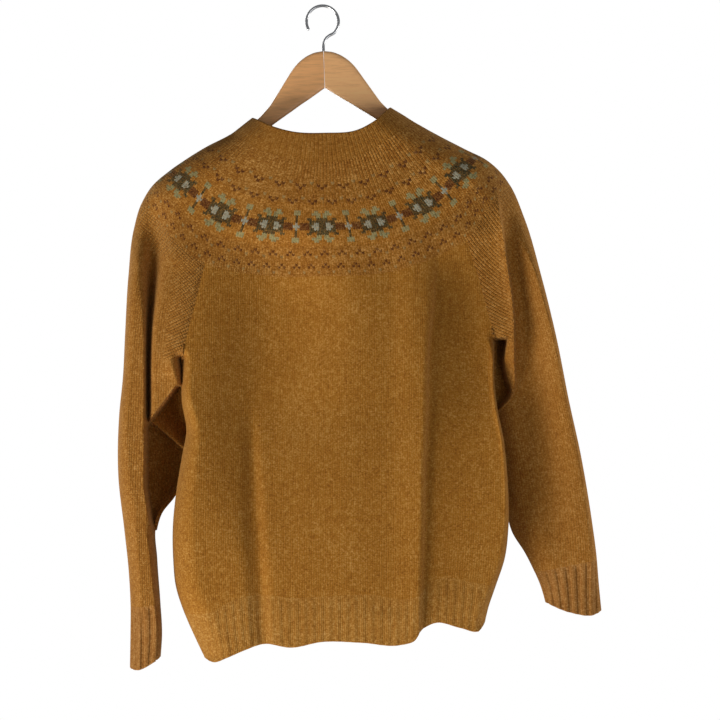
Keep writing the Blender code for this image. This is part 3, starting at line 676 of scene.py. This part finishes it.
# The yoke's knitted figures. Rows are counted down from the neckband, stitches round from the left.
yokeChart = {
    "rows": 45,
    "wales": 168,                                                  # round the top
    "walesFrom": [(0.27, 36), (0.40, 126), (0.75, -30), (0.86, 60)],  # how far down, how many more
    "yarns": {"S": (146, 144, 100), "D": (42, 48, 28), "L": (158, 162, 144), "R": (84, 36, 2)},
    "faint": 0.45,                       # how much the sprigs' pale stitches show
    "bandTop": 0.431, "bandDepth": 0.277, "bandRows": 13, "bandRepeat": 22, "bandShift": 16,
    # from the figure's middle stitch outwards, then its upper seven rows down; the rest is the same upwards
    "band": ["..SS......SS",
             ".SSSS.....SS",
             ".SS........D",
             "DDD..DD....D",
             "DDDDDD.....D",
             "DDLLDDRRRR.L",
             "DDLLLDRRRRLL"],
    # sprigs: repeat, shift, then a row and how far from the sprig's middle stitch, for each dotted row
    "sprigs": [(6, 0, {"S": (8, 3), "R": [(9, 1), (10, 0)]}),
               (6, 0, {"S": (14, 3), "R": [(15, 1), (16, 0)]}),
               (6, 3, {"S": (37, 3), "R": [(35, 0), (36, 1)]}),
               (6, 0, {"S": (43, 3), "R": [(40, 0), (41, 1)]})],
    "warmFrom": 16.5, "warmTo": 33.5,    # rows whose ground is the brighter yarn
}


def makeYokeFigures():
    # Finds each stitch's place in its band's repeat, and looks its yarn up in the chart
    chart = yokeChart
    tree, given, made = newGroup(
        "yokeFigures", {"Around": "Float", "Down": "Float"},
        {"Wale": "Float", "Row": "Float", "Yarn": "Color", "Figure": "Float", "Warm": "Float"})
    do = functools.partial(calc, tree)
    wales = chart["wales"]
    for start, more in chart["walesFrom"]:
        wales = do("MULTIPLY_ADD", do("GREATER_THAN", given["Down"], start), more, wales)
    wale = do("MULTIPLY_ADD", given["Around"], wales, 0.5)
    row = do("MULTIPLY", given["Down"], chart["rows"])
    stitch = do("FLOOR", wale)
    fromCentre = do("ABSOLUTE", do("SUBTRACT", do("FRACT", wale), 0.5))
    slipped = do("ADD", row, do("MULTIPLY", fromCentre, 2 * legSlip))
    cellRow = do("FLOOR", slipped)

    def awayFrom(repeat, shift):
        # stitches from the nearest middle of a repeat; 40 repeats more keep the count above zero
        at = do("MODULO", do("ADD", stitch, repeat * 40 - shift), repeat)
        return do("MINIMUM", at, do("SUBTRACT", repeat, at))

    def same(value, number):
        return do("COMPARE", value, number, 0.1)

    yarns = {key: linear(*colour) for key, colour in chart["yarns"].items()}
    clear = (0, 0, 0, 0)
    repeat = chart["bandRepeat"]
    away = awayFrom(repeat, chart["bandShift"])
    across = do("DIVIDE", do("ADD", away, 0.5), repeat / 2 + 1)
    fromBand = do("SUBTRACT", slipped, chart["bandTop"] * chart["rows"])
    rowsIn = chart["bandRows"] / (chart["bandDepth"] * chart["rows"])
    bandRow = do("FLOOR", do("MULTIPLY", fromBand, rowsIn))
    upper = do("MINIMUM", bandRow, do("SUBTRACT", chart["bandRows"] - 1, bandRow))
    yarn, figure = clear, 0.0
    for index, cells in enumerate(chart["band"]):
        stops = [(at / len(cells), yarns.get(cell, clear)) for at, cell in enumerate(cells)
                 if at == 0 or cell != cells[at - 1]]
        colour, alpha = ramp(tree, across, stops, "CONSTANT")
        here = same(upper, float(index))
        yarn = blend(tree, here, yarn, colour)
        figure = do("MULTIPLY_ADD", here, alpha, figure)
    for repeat, shift, dots in chart["sprigs"]:
        away = awayFrom(repeat, shift)
        for key, (dotRow, dotAway) in [("S", dots["S"])] + [("R", dot) for dot in dots["R"]]:
            here = do("MULTIPLY", same(cellRow, float(dotRow)), same(away, float(dotAway)))
            yarn = blend(tree, here, yarn, yarns[key])
            shown = do("MULTIPLY", here, chart["faint"]) if key == "S" else here
            figure = do("MAXIMUM", figure, shown)
    warm = do("MULTIPLY", do("GREATER_THAN", slipped, chart["warmFrom"]),
              do("LESS_THAN", slipped, chart["warmTo"]))
    for label, value in (("Wale", wale), ("Row", row), ("Yarn", yarn), ("Figure", figure), ("Warm", warm)):
        tree.links.new(value, made[label])
    return tree


stitchRelief, heather, yokeFigures = makeStitchRelief(), makeHeather(), makeYokeFigures()


def knitMaterial(name, look):
    # heathered wool: the tints and the relief follow the piece's own stitches
    material, tree, shader = newMaterial(
        name, Roughness=0.92, Specular_IOR_Level=0.25, Sheen_Weight=look["sheen"], Sheen_Roughness=0.45,
        Sheen_Tint=linear(*look["sheenTint"]))
    do = functools.partial(calc, tree)
    coords = addNode(tree, "UVMap")
    coords.uv_map = "stitches"
    wale, row, _ = addNode(tree, "SeparateXYZ", Vector=coords.outputs[0]).outputs
    place3d = addNode(tree, "TexCoord").outputs["Object"]
    figures = None
    if look.get("figured"):
        figures = useGroup(tree, yokeFigures, Around=wale, Down=row)
        wale, row = figures["Wale"], figures["Row"]
    if look.get("besideSeam"):
        # the stitches' own wales and rows near a seam, and how close it is
        nearSeam = addNode(tree, "Attribute")
        nearSeam.attribute_name = "besideSeam"
        *own, close = addNode(tree, "SeparateXYZ", Vector=nearSeam.outputs["Vector"]).outputs
        slanted = do("GREATER_THAN", close, 0.0)
        wale, row = (do("MULTIPLY_ADD", do("SUBTRACT", theirs, usual), slanted, usual)
                     for theirs, usual in zip(own, (wale, row)))
    relief = useGroup(tree, stitchRelief, Wale=wale, Row=row, Position=place3d, Fibre=look["fibre"])
    stitches = {"Wale": wale, "Cell_Row": relief["Cell Row"], "Position": place3d}
    dark, middle, light = (linear(*look[key]) for key in ("dark", "middle", "light"))
    if figures:
        middle = blend(tree, figures["Warm"], middle, linear(*look["warm"]))
        light = blend(tree, figures["Warm"], light, linear(*look["warmLight"]))
    colour = useGroup(tree, heather, Dark=dark, Middle=middle, Light=light, Contrast=look["contrast"],
                      **stitches)["Colour"]
    if figures:
        # dyed stitches under loose fibres of the ground
        yarn = figures["Yarn"]
        shade = blend(tree, 1.0, yarn, (0.5, 0.48, 0.42, 1), "MULTIPLY")
        bright = blend(tree, 0.12, yarn, (0.5, 0.34, 0.14, 1))
        dyed = useGroup(tree, heather, Dark=shade, Middle=yarn, Light=bright, Contrast=1.0,
                        **stitches)["Colour"]
        fuzz = noiseOf(tree, place3d, 620.0, 3.0, 0.6)
        cover = do("MINIMUM", do("MULTIPLY_ADD", fuzz, 1.7, -0.05), 1.0)
        colour = blend(tree, do("MULTIPLY", figures["Figure"], cover), colour, dyed)
    tree.links.new(colour, shader.inputs["Base Color"])
    height = relief["Height"]
    if look.get("besideSeam"):
        deeper = do("MULTIPLY_ADD", do("MAXIMUM", close, 0.0), look["besideSeam"], 1.0)
        height = do("MULTIPLY", height, deeper)
    addBump(tree, shader, height, look["bump"], look["bumpHeight"])
    return material


wool = {"dark": (112, 58, 0), "middle": (158, 103, 26), "light": (200, 150, 78), "contrast": 0.6,
        "fibre": 0.3, "sheen": 0.35, "sheenTint": (240, 190, 120), "bump": 0.8, "bumpHeight": 0.5}


def finishPiece(piece, nodes):
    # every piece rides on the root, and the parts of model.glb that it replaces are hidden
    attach(piece, "root")
    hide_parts(*nodes)
    print("made", piece.name, len(piece.data.polygons), "faces")


def ribWave(turns, share=0.5, sharpness=2.4):
    # raised ribs, a share of each turn, between sunk ones: a sine pushed towards its limits
    return np.tanh(sharpness * (np.sin(2 * np.pi * turns) + (share - 0.5) * 1.6)) / np.tanh(sharpness)


def neckSkin(upper, lower, first, last, u, v):
    # both faces of a piece that goes right round the neck, joined
    left, right = edge("outerLeft", v, first, last), edge("outerRight", v, first, last)
    return ring(*(place(patch(edge(f"{upper}{face}", u), edge(f"{lower}{face}", u), left, right, u, v), face)
                  for face in ("Back", "Front")))


def stitchGrid(wales, down, look):
    # wales across, and rows down as fractions of the piece's depth
    return np.stack([wales, 0 * wales + down * look["depth"] / look["rowHeight"]], -1)


def aroundShare(skin, backColumns, backShare=0.5):
    # how far round each column is: its share of the back's length, then of the front's
    length = arcLength(skin, True)
    half = length[:, backColumns:backColumns + 1]
    total = length[:, -1:]
    back = backShare * length / half
    front = backShare + (1 - backShare) * (length - half) / (total - half)
    return np.where(np.arange(length.shape[1]) <= backColumns, back, front)


neckbandLook = {
    "columns": 420, "rows": 22, "crowd": 0.8, "wall": 3.0, "rims": (7, 0),
    "ribs": 104, "ribRise": 0.14, "ribFade": 0.05, "standsOut": 0.5, "liftFade": 0.5,
    "rowHeight": 2.4, "depth": 33, "cut": (530, 34, None),
    "knit": {**wool, "middle": (150, 97, 26), "light": (190, 140, 72)},
}


def makeNeckband(look):
    # a doubled band: the neck skin pushed out a little, ribs as a wave round it that fades at the seam
    u, v = gathered(look["columns"], look["crowd"]), even(look["rows"])
    skin = neckSkin("neck", "band", "start", "band", u, v)
    normal = skinNormal(skin, True, outwards["ring"])
    around = aroundShare(skin, look["columns"])
    down = v[:, None]
    lift = look["standsOut"] * smoothStep((1 - down) / look["liftFade"])
    ribs = look["ribRise"] * ribWave(around[:, :-1] * look["ribs"])
    ribs = ribs * smoothStep((1.02 - down) / look["ribFade"])
    skin = skin + normal * (lift + ribs)[..., None]
    uv = stitchGrid(around * look["ribs"] * 2 + 0.5, down, look)
    return clothShell("neckbandKnit", "neckbandWool", look, skin, normal, sides(uv), outwards["ring"])


yokeLook = {
    "columns": 420, "rows": 54, "crowd": 0.7, "wall": 2.2,
    "wales": 168, "waleRise": 0.2, "waleFade": 0.24, "backShare": 0.509, "cut": (1180, 152, 134000),
    "knit": {**wool, "middle": (152, 98, 28), "light": (202, 150, 80), "figured": True,
             "warm": (158, 101, 27), "warmLight": (208, 152, 78), "contrast": 0.75, "bumpHeight": 0.65},
}


def makeYoke(look):
    # the neck skin from the neckband's seam down to the round yoke's last row
    u, v = gathered(look["columns"], look["crowd"]), even(look["rows"])
    skin = neckSkin("band", "yoke", "band", "yoke", u, v)
    normal = skinNormal(skin, True, outwards["ring"])
    around = aroundShare(skin, look["columns"], look["backShare"])
    wales = look["waleRise"] * np.cos(2 * np.pi * around[:, :-1] * look["wales"])
    skin = skin + normal * (wales * (1 - smoothStep(v[:, None] / look["waleFade"])))[..., None]
    height = skin[:, look["columns"] // 2, 2]
    fallen = (height - height[0]) / (height[-1] - height[0])
    uv = np.stack([around, 0 * around + fallen[:, None]], -1)
    return clothShell("yokeKnit", "yokeWool", look, skin, normal, sides(uv), outwards["ring"])


bodyLook = {
    "columns": 300, "rows": 160, "crowd": 0.9, "wall": 2.2, "raglanShare": 0.29, "holds": (1.5, 3),
    "centre": 20, "waleWidth": 2.9, "rowHeight": 2.3, "cut": (470, 468, 180000),
    "knit": wool,
}


def makeBodyPanel(face, look):
    # yoke edge to rib, raglans and sides: wales share out each row's own length
    u, v = gathered(look["columns"], look["crowd"]), even(look["rows"])
    share = look["raglanShare"]
    edgesOf = []
    for side in ("Left", "Right"):
        raglan = edge(f"raglan{face}{side}", v[v < share] / share)
        lower = edge(f"side{side}", (v[v >= share] - share) / (1 - share), "start", "rib")
        edgesOf.append(np.vstack([raglan, lower]))
    flat = patch(edge(f"yoke{face}", u, "left", "right"), edge(f"rib{face}", u), *edgesOf, u, v,
                 *look["holds"])
    skin = place(flat, face)
    normal = skinNormal(skin, False, outwards[face])
    wales = fromMiddle(skin, flat, look["centre"]) / look["waleWidth"]
    uv = np.stack([wales, -flat[..., 1] / look["rowHeight"]], -1)
    return clothShell(f"body{face}Knit", f"body{face}Wool", look, skin, normal, sides(uv), outwards[face],
                      closed=False)


hemLook = {
    "columns": 420, "rows": 26, "crowd": 0.7, "wall": 2.4, "rims": (0, 6), "centre": 20, "taper": 90,
    "pitch": 10.4, "ribRise": 0.55, "ribFade": 0.12, "rowHeight": 2.3, "depth": 56,
    "cut": (930, 58, 51500),
    "knit": {**wool, "middle": (160, 108, 36), "light": (202, 156, 88)},
}


def uprightBottom(top, name, taper):
    # points of a lower edge straight below those of the upper one, drawn in only near the sides
    fine = edgeLine(name, 600)
    x, ends = top[:, 0], (top[0, 0], top[-1, 0])
    inwards = ((fine[0, 0] - ends[0]) * (1 - smoothStep((x - ends[0]) / taper))
               + (fine[-1, 0] - ends[1]) * smoothStep((x - ends[1] + taper) / taper))
    below = x + inwards
    return np.stack([below, np.interp(below, fine[:, 0], fine[:, 1])], -1)


def fromMiddle(skin, flat, middle):
    # signed way along each row from the middle line, in millimetres
    along = arcLength(skin, False)
    start = np.array([np.interp(middle, row, way) for row, way in zip(flat[..., 0], along)])
    return along - start[:, None]


def countRibs(way, pitch):
    # ribs from the middle line: even, but eased near each fold to end on a whole one
    counted = way / pitch
    for end, part in ((way[:, :1], way < 0), (way[:, -1:], way > 0)):
        over = np.round(np.median(end / pitch)) - end / pitch
        counted = counted + np.where(part, over * (way / end)**4, 0)
    return counted


def makeHem(look):
    # two-and-two rib right round, its wave growing from the seam down
    u, v = gathered(look["columns"], look["crowd"]), even(look["rows"])
    faces, counts = [], []
    for face in ("Back", "Front"):
        top = edge(f"rib{face}", u)
        flat = patch(top, uprightBottom(top, f"hem{face}", look["taper"]), edge("sideLeft", v, "rib", "end"),
                     edge("sideRight", v, "rib", "end"), u, v)
        faces.append(place(flat, face))
        counts.append(countRibs(fromMiddle(faces[-1], flat, look["centre"]), look["pitch"]))
    skin = ring(*faces)
    normal = skinNormal(skin, True, outwards["ring"])
    down = v[:, None]
    ribs = look["ribRise"] * (ribWave(ring(*counts) + 0.25, 0.55) - 1) / 2
    skin = skin + normal * (ribs * smoothStep(down / look["ribFade"]))[..., None]
    uv = [stitchGrid(count * 4 + 0.5, down, look) for count in counts]
    uv = np.concatenate([sides(uv[0]), sides(uv[1][:, ::-1])], 1)
    return clothShell("hemRibKnit", "hemWool", look, skin, normal, uv, outwards["ring"])


sleeveLook = {
    "backColumns": 110, "frontColumns": 60, "rows": 230, "crowd": 0.85, "wall": 2.2, "holds": (14, 3),
    "arcShare": 0.54, "waleWidth": 3.1, "rowHeight": 2.4, "round": 26, "cut": (540, 515, 121000),
    # a wale down the middle of each sleeve: x, z
    "guideLeft": [(-60, -160), (-120, -215), (-175, -275), (-205, -345), (-218, -430),
                  (-222, -520), (-226, -640), (-222, -820)],
    "guideRight": [(60, -150), (130, -205), (190, -265), (232, -340), (262, -430), (285, -520),
                   (305, -640), (312, -760)],
    "slanted": {"waleWidth": 3.8, "rowHeight": 3.0, "heights": (-180, -470), "fade": 12, "slack": 3,
                "end": {"Left": 441, "Right": 419},
                # z, the wales' angle below level, how far from the seam they go on so
                "rows": [(-200, 54, 40), (-291, 52, 42), (-340, 40, 38), (-390, 28, 32),
                         (-420, 22, 24), (-460, 20, 22)]},
    "knit": {**wool, "middle": (158, 103, 32), "light": (202, 151, 84), "bumpHeight": 0.8,
             "besideSeam": 2.0},   # how much deeper the relief gets at the raglan
}


def sleeveStitches(flat, side, look):
    # wales count the way out from a line down the sleeve's middle, lengthened where the cloth rounds
    # its folds: radius * arcsine(t) - radius * t, t from 0 to 1 at the fold. Rows count along the line
    line = curvePoints(look[f"guide{side}"], np.linspace(0, 1, 160))
    reached = travelled(line)
    x, z = flat[..., 0], flat[..., 1]
    best, along, sideways = np.full(x.shape, 1e12), np.zeros(x.shape), np.zeros(x.shape)
    for (xa, za), (xb, zb), start, step in zip(line[:-1], line[1:], reached, np.diff(reached)):
        share = np.clip(((x - xa) * (xb - xa) + (z - za) * (zb - za)) / step**2, 0, 1)
        gap = (x - xa - share * (xb - xa))**2 + (z - za - share * (zb - za))**2
        along = np.where(gap < best, start + share * step, along)
        sideways = np.where(gap < best, np.sign((x - xa) * (zb - za) - (z - za) * (xb - xa)), sideways)
        best = np.minimum(best, gap)
    fold = np.minimum(foldDistance(flat, f"outer{side}"), foldDistance(flat, f"inner{side}"))
    turn = 1 - np.clip(fold / look["round"], 0, 1)
    away = np.sqrt(best) + look["round"] * (np.arcsin(turn) - turn)
    return np.stack([sideways * away / look["waleWidth"], along / look["rowHeight"]], -1)


def slantedStitches(flat, side, look):
    # beside the raglan the wales leave it slanting outwards: the wale count's slope is (sine, cosine) of
    # their angle below level, read down the seam, and the rows' slope is at right angles to it.
    # The third value falls from 1 at the seam to 0 where this zone ends
    zone = look["slanted"]
    seam = seamOf(side, "Back")
    out = 1 if side == "Right" else -1
    high, low = zone["heights"]
    z = np.linspace(high, low, high - low + 1)
    seamX = out * np.interp(-z, -seam[:, 1], seam[:, 0])
    angle, reach = table(zone["rows"], z)
    sine, cosine = np.sin(np.radians(angle)), np.cos(np.radians(angle))
    lean = np.gradient(seamX, z)
    down = -flat[..., 1]
    away = out * flat[..., 0] - np.interp(down, -z, seamX)
    sine, cosine, waleStart, rowStart, reach = (np.interp(down, -z, values) for values in (
        sine, cosine, np.cumsum(-cosine - sine * lean), np.cumsum(sine - cosine * lean), reach))
    near = np.minimum(1 - away / reach, (zone["end"][side] - down) / zone["fade"])
    near = np.where((away > -zone["slack"]) & (near > 0), np.minimum(near, 1), -1)
    return np.stack([(away * sine + waleStart) / zone["waleWidth"],
                     (away * cosine + rowStart) / zone["rowHeight"], near], -1)


def sleeveFlats(side, look, v):
    # flat patches of a sleeve: top edge along the yoke's arc and then the raglan
    for face, columns in (("Back", look["backColumns"]), ("Front", look["frontColumns"])):
        u = gathered(columns, look["crowd"])
        share = look["arcShare"]
        onArc = (u[u < share] / share)**1.25
        arc = (edge(f"yoke{face}", onArc, "start", "left") if side == "Left"
               else edge(f"yoke{face}", 1 - onArc, "right", "end"))
        raglan = edge(f"raglan{face}{side}", (u[u >= share] - share) / (1 - share))
        yield face, patch(np.vstack([arc, raglan]), edge(f"cuffTop{side}", u),
                          edge(f"outer{side}", v, "yoke", "cuff"),
                          edge(f"inner{side}", v, "start", "cuff"), u, v, *look["holds"])


def makeSleeve(side, look):
    # a tube flattened to two folds, its near face tucked away under the arm. Its rows crowd to the top
    v = even(look["rows"])**1.5
    skins, stitches, beside = [], [], []
    for face, flat in sleeveFlats(side, look, v):
        skins.append(place(flat, face, side))
        beside.append(slantedStitches(flat, side, look) if face == "Back" else 0 * skins[-1] - 1)
        uv = sleeveStitches(flat, side, look)
        stitches.append(uv if face == "Back" else uv * (-1, 1))
    skin = ring(*skins)
    normal = skinNormal(skin, True, outwards[side])
    uv = np.concatenate([sides(stitches[0]), sides(stitches[1][:, ::-1])], 1)
    return clothShell(f"sleeve{side}Knit", f"sleeve{side}Wool", look, skin, normal, uv, outwards[side],
                      slanted=ring(*beside))


cuffLook = {
    "backColumns": 150, "frontColumns": 150, "rows": 30, "crowd": 0.7, "wall": 2.4, "rims": (0, 6),
    "ribs": 17, "ribRise": 1.7, "ribFade": 0.08, "rowHeight": 2.3, "depth": 75, "cut": (198, 65, None),
    "knit": {**wool, "middle": (151, 101, 42), "light": (195, 147, 89)},
}


def makeCuff(side, look):
    # two-and-two rib round the wrist
    v = even(look["rows"])
    faces = []
    for face, columns in (("Back", look["backColumns"]), ("Front", look["frontColumns"])):
        u = gathered(columns, look["crowd"])
        flat = patch(edge(f"cuffTop{side}", u), edge(f"cuffEnd{side}", u),
                     edge(f"outer{side}", v, "cuff", "end"), edge(f"inner{side}", v, "cuff", "end"), u, v)
        faces.append(place(flat, face, side))
    skin = ring(*faces)
    normal = skinNormal(skin, True, outwards[side])
    around = aroundShare(skin, look["backColumns"])
    down = v[:, None]
    ribs = look["ribRise"] * (ribWave(around[:, :-1] * look["ribs"], 0.55) - 1) / 2
    skin = skin + normal * (ribs * smoothStep(down / look["ribFade"]))[..., None]
    uv = stitchGrid(around * look["ribs"] * 4 + 0.5, down, look)
    return clothShell(f"cuff{side}Knit", f"cuff{side}Wool", look, skin, normal, sides(uv), outwards[side])


finishPiece(makeNeckband(neckbandLook), ["neckband"])
finishPiece(makeYoke(yokeLook), ["yoke"])
for face in ("Back", "Front"):
    finishPiece(makeBodyPanel(face, bodyLook), [f"{face.lower()}_panel"])
finishPiece(makeHem(hemLook), ["hem_rib"])
for side in ("Left", "Right"):
    finishPiece(makeSleeve(side, sleeveLook), [f"sleeve_{side.lower()}"])
    finishPiece(makeCuff(side, cuffLook), [f"cuff_{side.lower()}"])


hangerLook = {
    "thick": 12, "roll": 2, "top": 55, "corners": 28, "squareness": 0.34, "stations": 150,
    # how far out, drop of the top edge, drop of the under edge
    "arm": [(0.25, 0, 46), (12, 1.6, 54), (22, 6, 60.5), (31, 12.5, 66), (39, 21, 71.5),
            (49, 36, 78), (59, 51, 84.5), (69, 66, 91.5), (83, 80.5, 101.5), (115, 101.5, 122.5),
            (145, 118.5, 140.5), (170, 132.5, 154.5), (192, 145, 166.5), (205, 154, 171.5),
            (211, 160.5, 169)],
    "tip": (0.3, 203, 8),   # how much narrower it gets, from how far out, over what distance
    # how far the two ends bulge, and the sizes of the rings that close them
    "endStep": (-0.15, 0.5), "endRings": (0.9, 0.6, 0.02),
    # a side's colour, the left one darker than the right as painted shade, and its grain's angle
    "beech": {"Left": ((238, 175, 113), 36), "Right": ((252, 190, 127), -32)},
}


def rolled(points, degrees):
    # turned in the plane of the hanger about the hook's inside top
    angle = math.radians(degrees)
    x, y, z = np.moveaxis(points, -1, 0)
    return np.stack([x * math.cos(angle) - z * math.sin(angle), y,
                     x * math.sin(angle) + z * math.cos(angle)], -1)


def beechMaterial(name, tone, lean):
    # fine streaks along the arm over slow bands, read in the arm's own slanted frame
    material, tree, shader = newMaterial(name, Roughness=0.42, Coat_Weight=0.15, Coat_Roughness=0.3)
    turned = addNode(tree, "Mapping", Vector=addNode(tree, "TexCoord").outputs["Object"],
                     Rotation=(0, math.radians(lean), 0), Scale=(14, 160, 160)).outputs[0]
    streaks = noiseOf(tree, turned, 3.0, 4.0, 0.6)
    bands = noiseOf(tree, turned, 0.5, 2.0)
    grain = calc(tree, "MULTIPLY_ADD", streaks, 0.6, calc(tree, "MULTIPLY", bands, 0.4))
    # the arm's tone; on the left arm part of its darkness is painted shade
    base = linear(*tone)
    darker = tuple(c * 0.72 for c in base[:3]) + (1.0,)
    lighter = tuple(min(1.0, c * 1.16) for c in base[:3]) + (1.0,)
    colour = ramp(tree, grain, [(0.3, darker), (0.5, base), (0.72, lighter)])[0]
    tree.links.new(colour, shader.inputs["Base Color"])
    addBump(tree, shader, streaks, 0.12, 0.3)
    return material


def makeHangerArm(side, look):
    # a nearly square section with rounded edges carried out along the bowed arm, closed at both ends
    sign = -1 if side == "Left" else 1
    arm = np.array(look["arm"], float)
    reach = arm[0, 0] + (arm[-1, 0] - arm[0, 0]) * even(look["stations"])
    # the two edges, each averaged over five stations
    drops = (np.interp(reach, arm[:, 0], drop) for drop in arm.T[1:])
    top, under = (np.convolve(np.pad(drop, 2, mode="reflect", reflect_type="odd"), np.ones(5) / 5, "valid")
                  for drop in drops)
    angle = (np.arange(look["corners"]) + 0.5) * 2 * np.pi / look["corners"]
    power = look["squareness"]
    across = np.sign(np.cos(angle)) * np.abs(np.cos(angle))**power
    upward = np.sign(np.sin(angle)) * np.abs(np.sin(angle))**power
    lost, start, over = look["tip"]
    narrow = 1 - lost * smoothStep((reach - start) / over)
    bowReach, bowAt, _ = drape["bow"]
    y = (bowReach * (reach / bowAt)**2)[:, None] + across * (look["thick"] * narrow / 2)[:, None]
    z = -look["top"] - ((top + under) / 2)[:, None] + upward * ((under - top) / 2)[:, None]
    grid = np.stack([np.broadcast_to(sign * reach[:, None], y.shape), y, z], -1)
    ends = []
    for row, step in zip((grid[0], grid[-1]), look["endStep"]):
        middle = row.mean(0)
        ends.append(np.array([middle + (row - middle) * size + (sign * step * (1 - size**2), 0, 0)
                              for size in look["endRings"]]))
    grid = rolled(np.concatenate([ends[0][::-1], grid, ends[1]]), look["roll"])
    return addMesh(f"hangerArm{side}", grid, closedTube(*grid.shape[:2])[:, ::-sign],
                   beechMaterial(f"beech{side}", *look["beech"][side]), sharp=40)


hookLook = {
    "wire": 3.6, "radius": 18.2, "around": 20, "along": 150, "turn": (-48, 205), "turnKnots": 26,
    "dome": 6,
    "neck": [(0, -54.6), (0, -49), (0.6, -45), (4.2, -38.6), (9, -35.2)],   # x, z up to the turn
}


def makeHook(look):
    # a round wire carried along stem, neck bend and a turn over the top, with a domed tip
    radius = look["radius"] + look["wire"] / 2
    turn = np.radians(np.linspace(*look["turn"], look["turnKnots"]))
    arc = np.stack([radius * np.cos(turn), -look["radius"] + radius * np.sin(turn)], -1)
    route = curvePoints(np.vstack([look["neck"], arc]), even(look["along"]))
    ahead = unit(np.gradient(route, axis=0))
    side = np.stack([-ahead[:, 1], 0 * ahead[:, 0], ahead[:, 0]], -1)
    angle = np.arange(look["around"]) * 2 * np.pi / look["around"]
    size = np.full(len(route), look["wire"] / 2)
    middle = np.stack([route[:, 0], 0 * route[:, 0], route[:, 1]], -1)
    dome = 0.49 * np.pi * even(look["dome"])[1:]
    forward = np.array([ahead[-1, 0], 0, ahead[-1, 1]])
    middle = np.vstack([middle, middle[-1] + np.sin(dome)[:, None] * forward * look["wire"] / 2])
    size = np.concatenate([size, np.cos(dome) * look["wire"] / 2])
    side = np.vstack([side, np.repeat(side[-1:], len(dome), 0)])
    grid = middle[:, None] + size[:, None, None] * (np.cos(angle)[None, :, None] * side[:, None]
                                                    + np.sin(angle)[None, :, None] * np.array([0, 1, 0]))
    grid = rolled(grid, hangerLook["roll"])
    steel, _, _ = newMaterial("steelWire", Base_Color=(0.62, 0.62, 0.63, 1), Metallic=1.0, Roughness=0.24)
    return addMesh("hookWire", grid, closedTube(*grid.shape[:2]), steel, sharp=60)


for side in ("Left", "Right"):
    finishPiece(makeHangerArm(side, hangerLook), [f"hanger_{side.lower()}"])
finishPiece(makeHook(hookLook), ["hook"])

studio = {
    "floorDrop": 2.1, "floorRadius": 2.2, "floorRings": 24, "floorSpokes": 64,
    "eye": (0.0475, -4.5, -0.441), "lens": 180,
    "ambient": 0.2, "background": 1.0,
    # name: where, width, power, colour
    "lamps": {"key": ((-2.05, -1.35, -2.35), 1.9, 107, (1.0, 0.97, 0.92)),
              "fill": ((1.5, -2.6, -1.2), 1.8, 17, (0.95, 0.97, 1.0)),
              "rim": ((2.2, 0.3, -0.8), 1.2, 24, (1.0, 0.97, 0.92)),
              "behind": ((-0.9, 2.6, -0.1), 1.8, 34, (1.0, 0.98, 0.95))},
    "aim": (0.03, 0.0, -0.45),
}


def makeFloor(look):
    # a pale disc below the garment that fades out towards its rim
    rings, spokes = look["floorRings"], look["floorSpokes"]
    out = np.linspace(0.002, 1, rings)[:, None] * look["floorRadius"] / mm
    angle = np.arange(spokes) * 2 * np.pi / spokes
    grid = np.stack([out * np.cos(angle), out * np.sin(angle),
                     np.full((rings, spokes), -look["floorDrop"] / mm)], -1)
    material, tree, shader = newMaterial("paleFloor", Base_Color=(0.95, 0.95, 0.94, 1), Roughness=0.9)
    centred = addNode(tree, "Mapping", Vector=addNode(tree, "TexCoord").outputs["Object"],
                      Location=(0, 0, look["floorDrop"]))
    away = addNode(tree, "VectorMath", Vector=centred.outputs[0])
    away.operation = "LENGTH"
    faded = ramp(tree, calc(tree, "DIVIDE", away.outputs["Value"], look["floorRadius"]),
                 [(0.15, (1, 1, 1, 1)), (0.8, (0, 0, 0, 1))], "EASE")[0]
    tree.links.new(faded, shader.inputs["Alpha"])
    addMesh("paleFloor", grid, openTube(rings, spokes)[:, ::-1], material)


def makeStudio(look):
    # the world's light, four round lamps aimed at the garment, and a level camera
    world = bpy.data.worlds.new("softStudio")
    bpy.context.scene.world = world
    world.use_nodes = True
    tree = world.node_tree
    # the camera alone sees the white background
    ambient = feedAll(tree, tree.nodes["Background"], Color=(0.94, 0.97, 1.0, 1), Strength=look["ambient"])
    seen = addNode(tree, "Background", Color=(1, 1, 1, 1), Strength=look["background"])
    mix = addNode(tree, "MixShader")
    for socket, source in zip(mix.inputs, (addNode(tree, "LightPath").outputs["Is Camera Ray"],
                                           ambient.outputs[0], seen.outputs[0])):
        tree.links.new(source, socket)
    tree.links.new(mix.outputs[0], tree.nodes["World Output"].inputs["Surface"])
    for name, (where, width, power, colour) in look["lamps"].items():
        lamp = bpy.data.lights.new(name, "AREA")
        lamp.shape, lamp.size, lamp.energy, lamp.color = "DISK", width, power, colour
        holder = bpy.data.objects.new(name, lamp)
        holder.location = where
        aim = mathutils.Vector(look["aim"]) - mathutils.Vector(where)
        holder.rotation_euler = aim.to_track_quat("-Z", "Y").to_euler()
        bpy.context.scene.collection.objects.link(holder)
    camera = bpy.data.cameras.new("camera")
    camera.lens, camera.sensor_width = look["lens"], 36
    eye = bpy.data.objects.new("camera", camera)
    eye.location = look["eye"]
    eye.rotation_euler = (math.pi / 2, 0, 0)
    bpy.context.scene.collection.objects.link(eye)
    bpy.context.scene.camera = eye
    bpy.context.scene.view_settings.view_transform = "Standard"


makeFloor(studio)
makeStudio(studio)
print("studio ready")
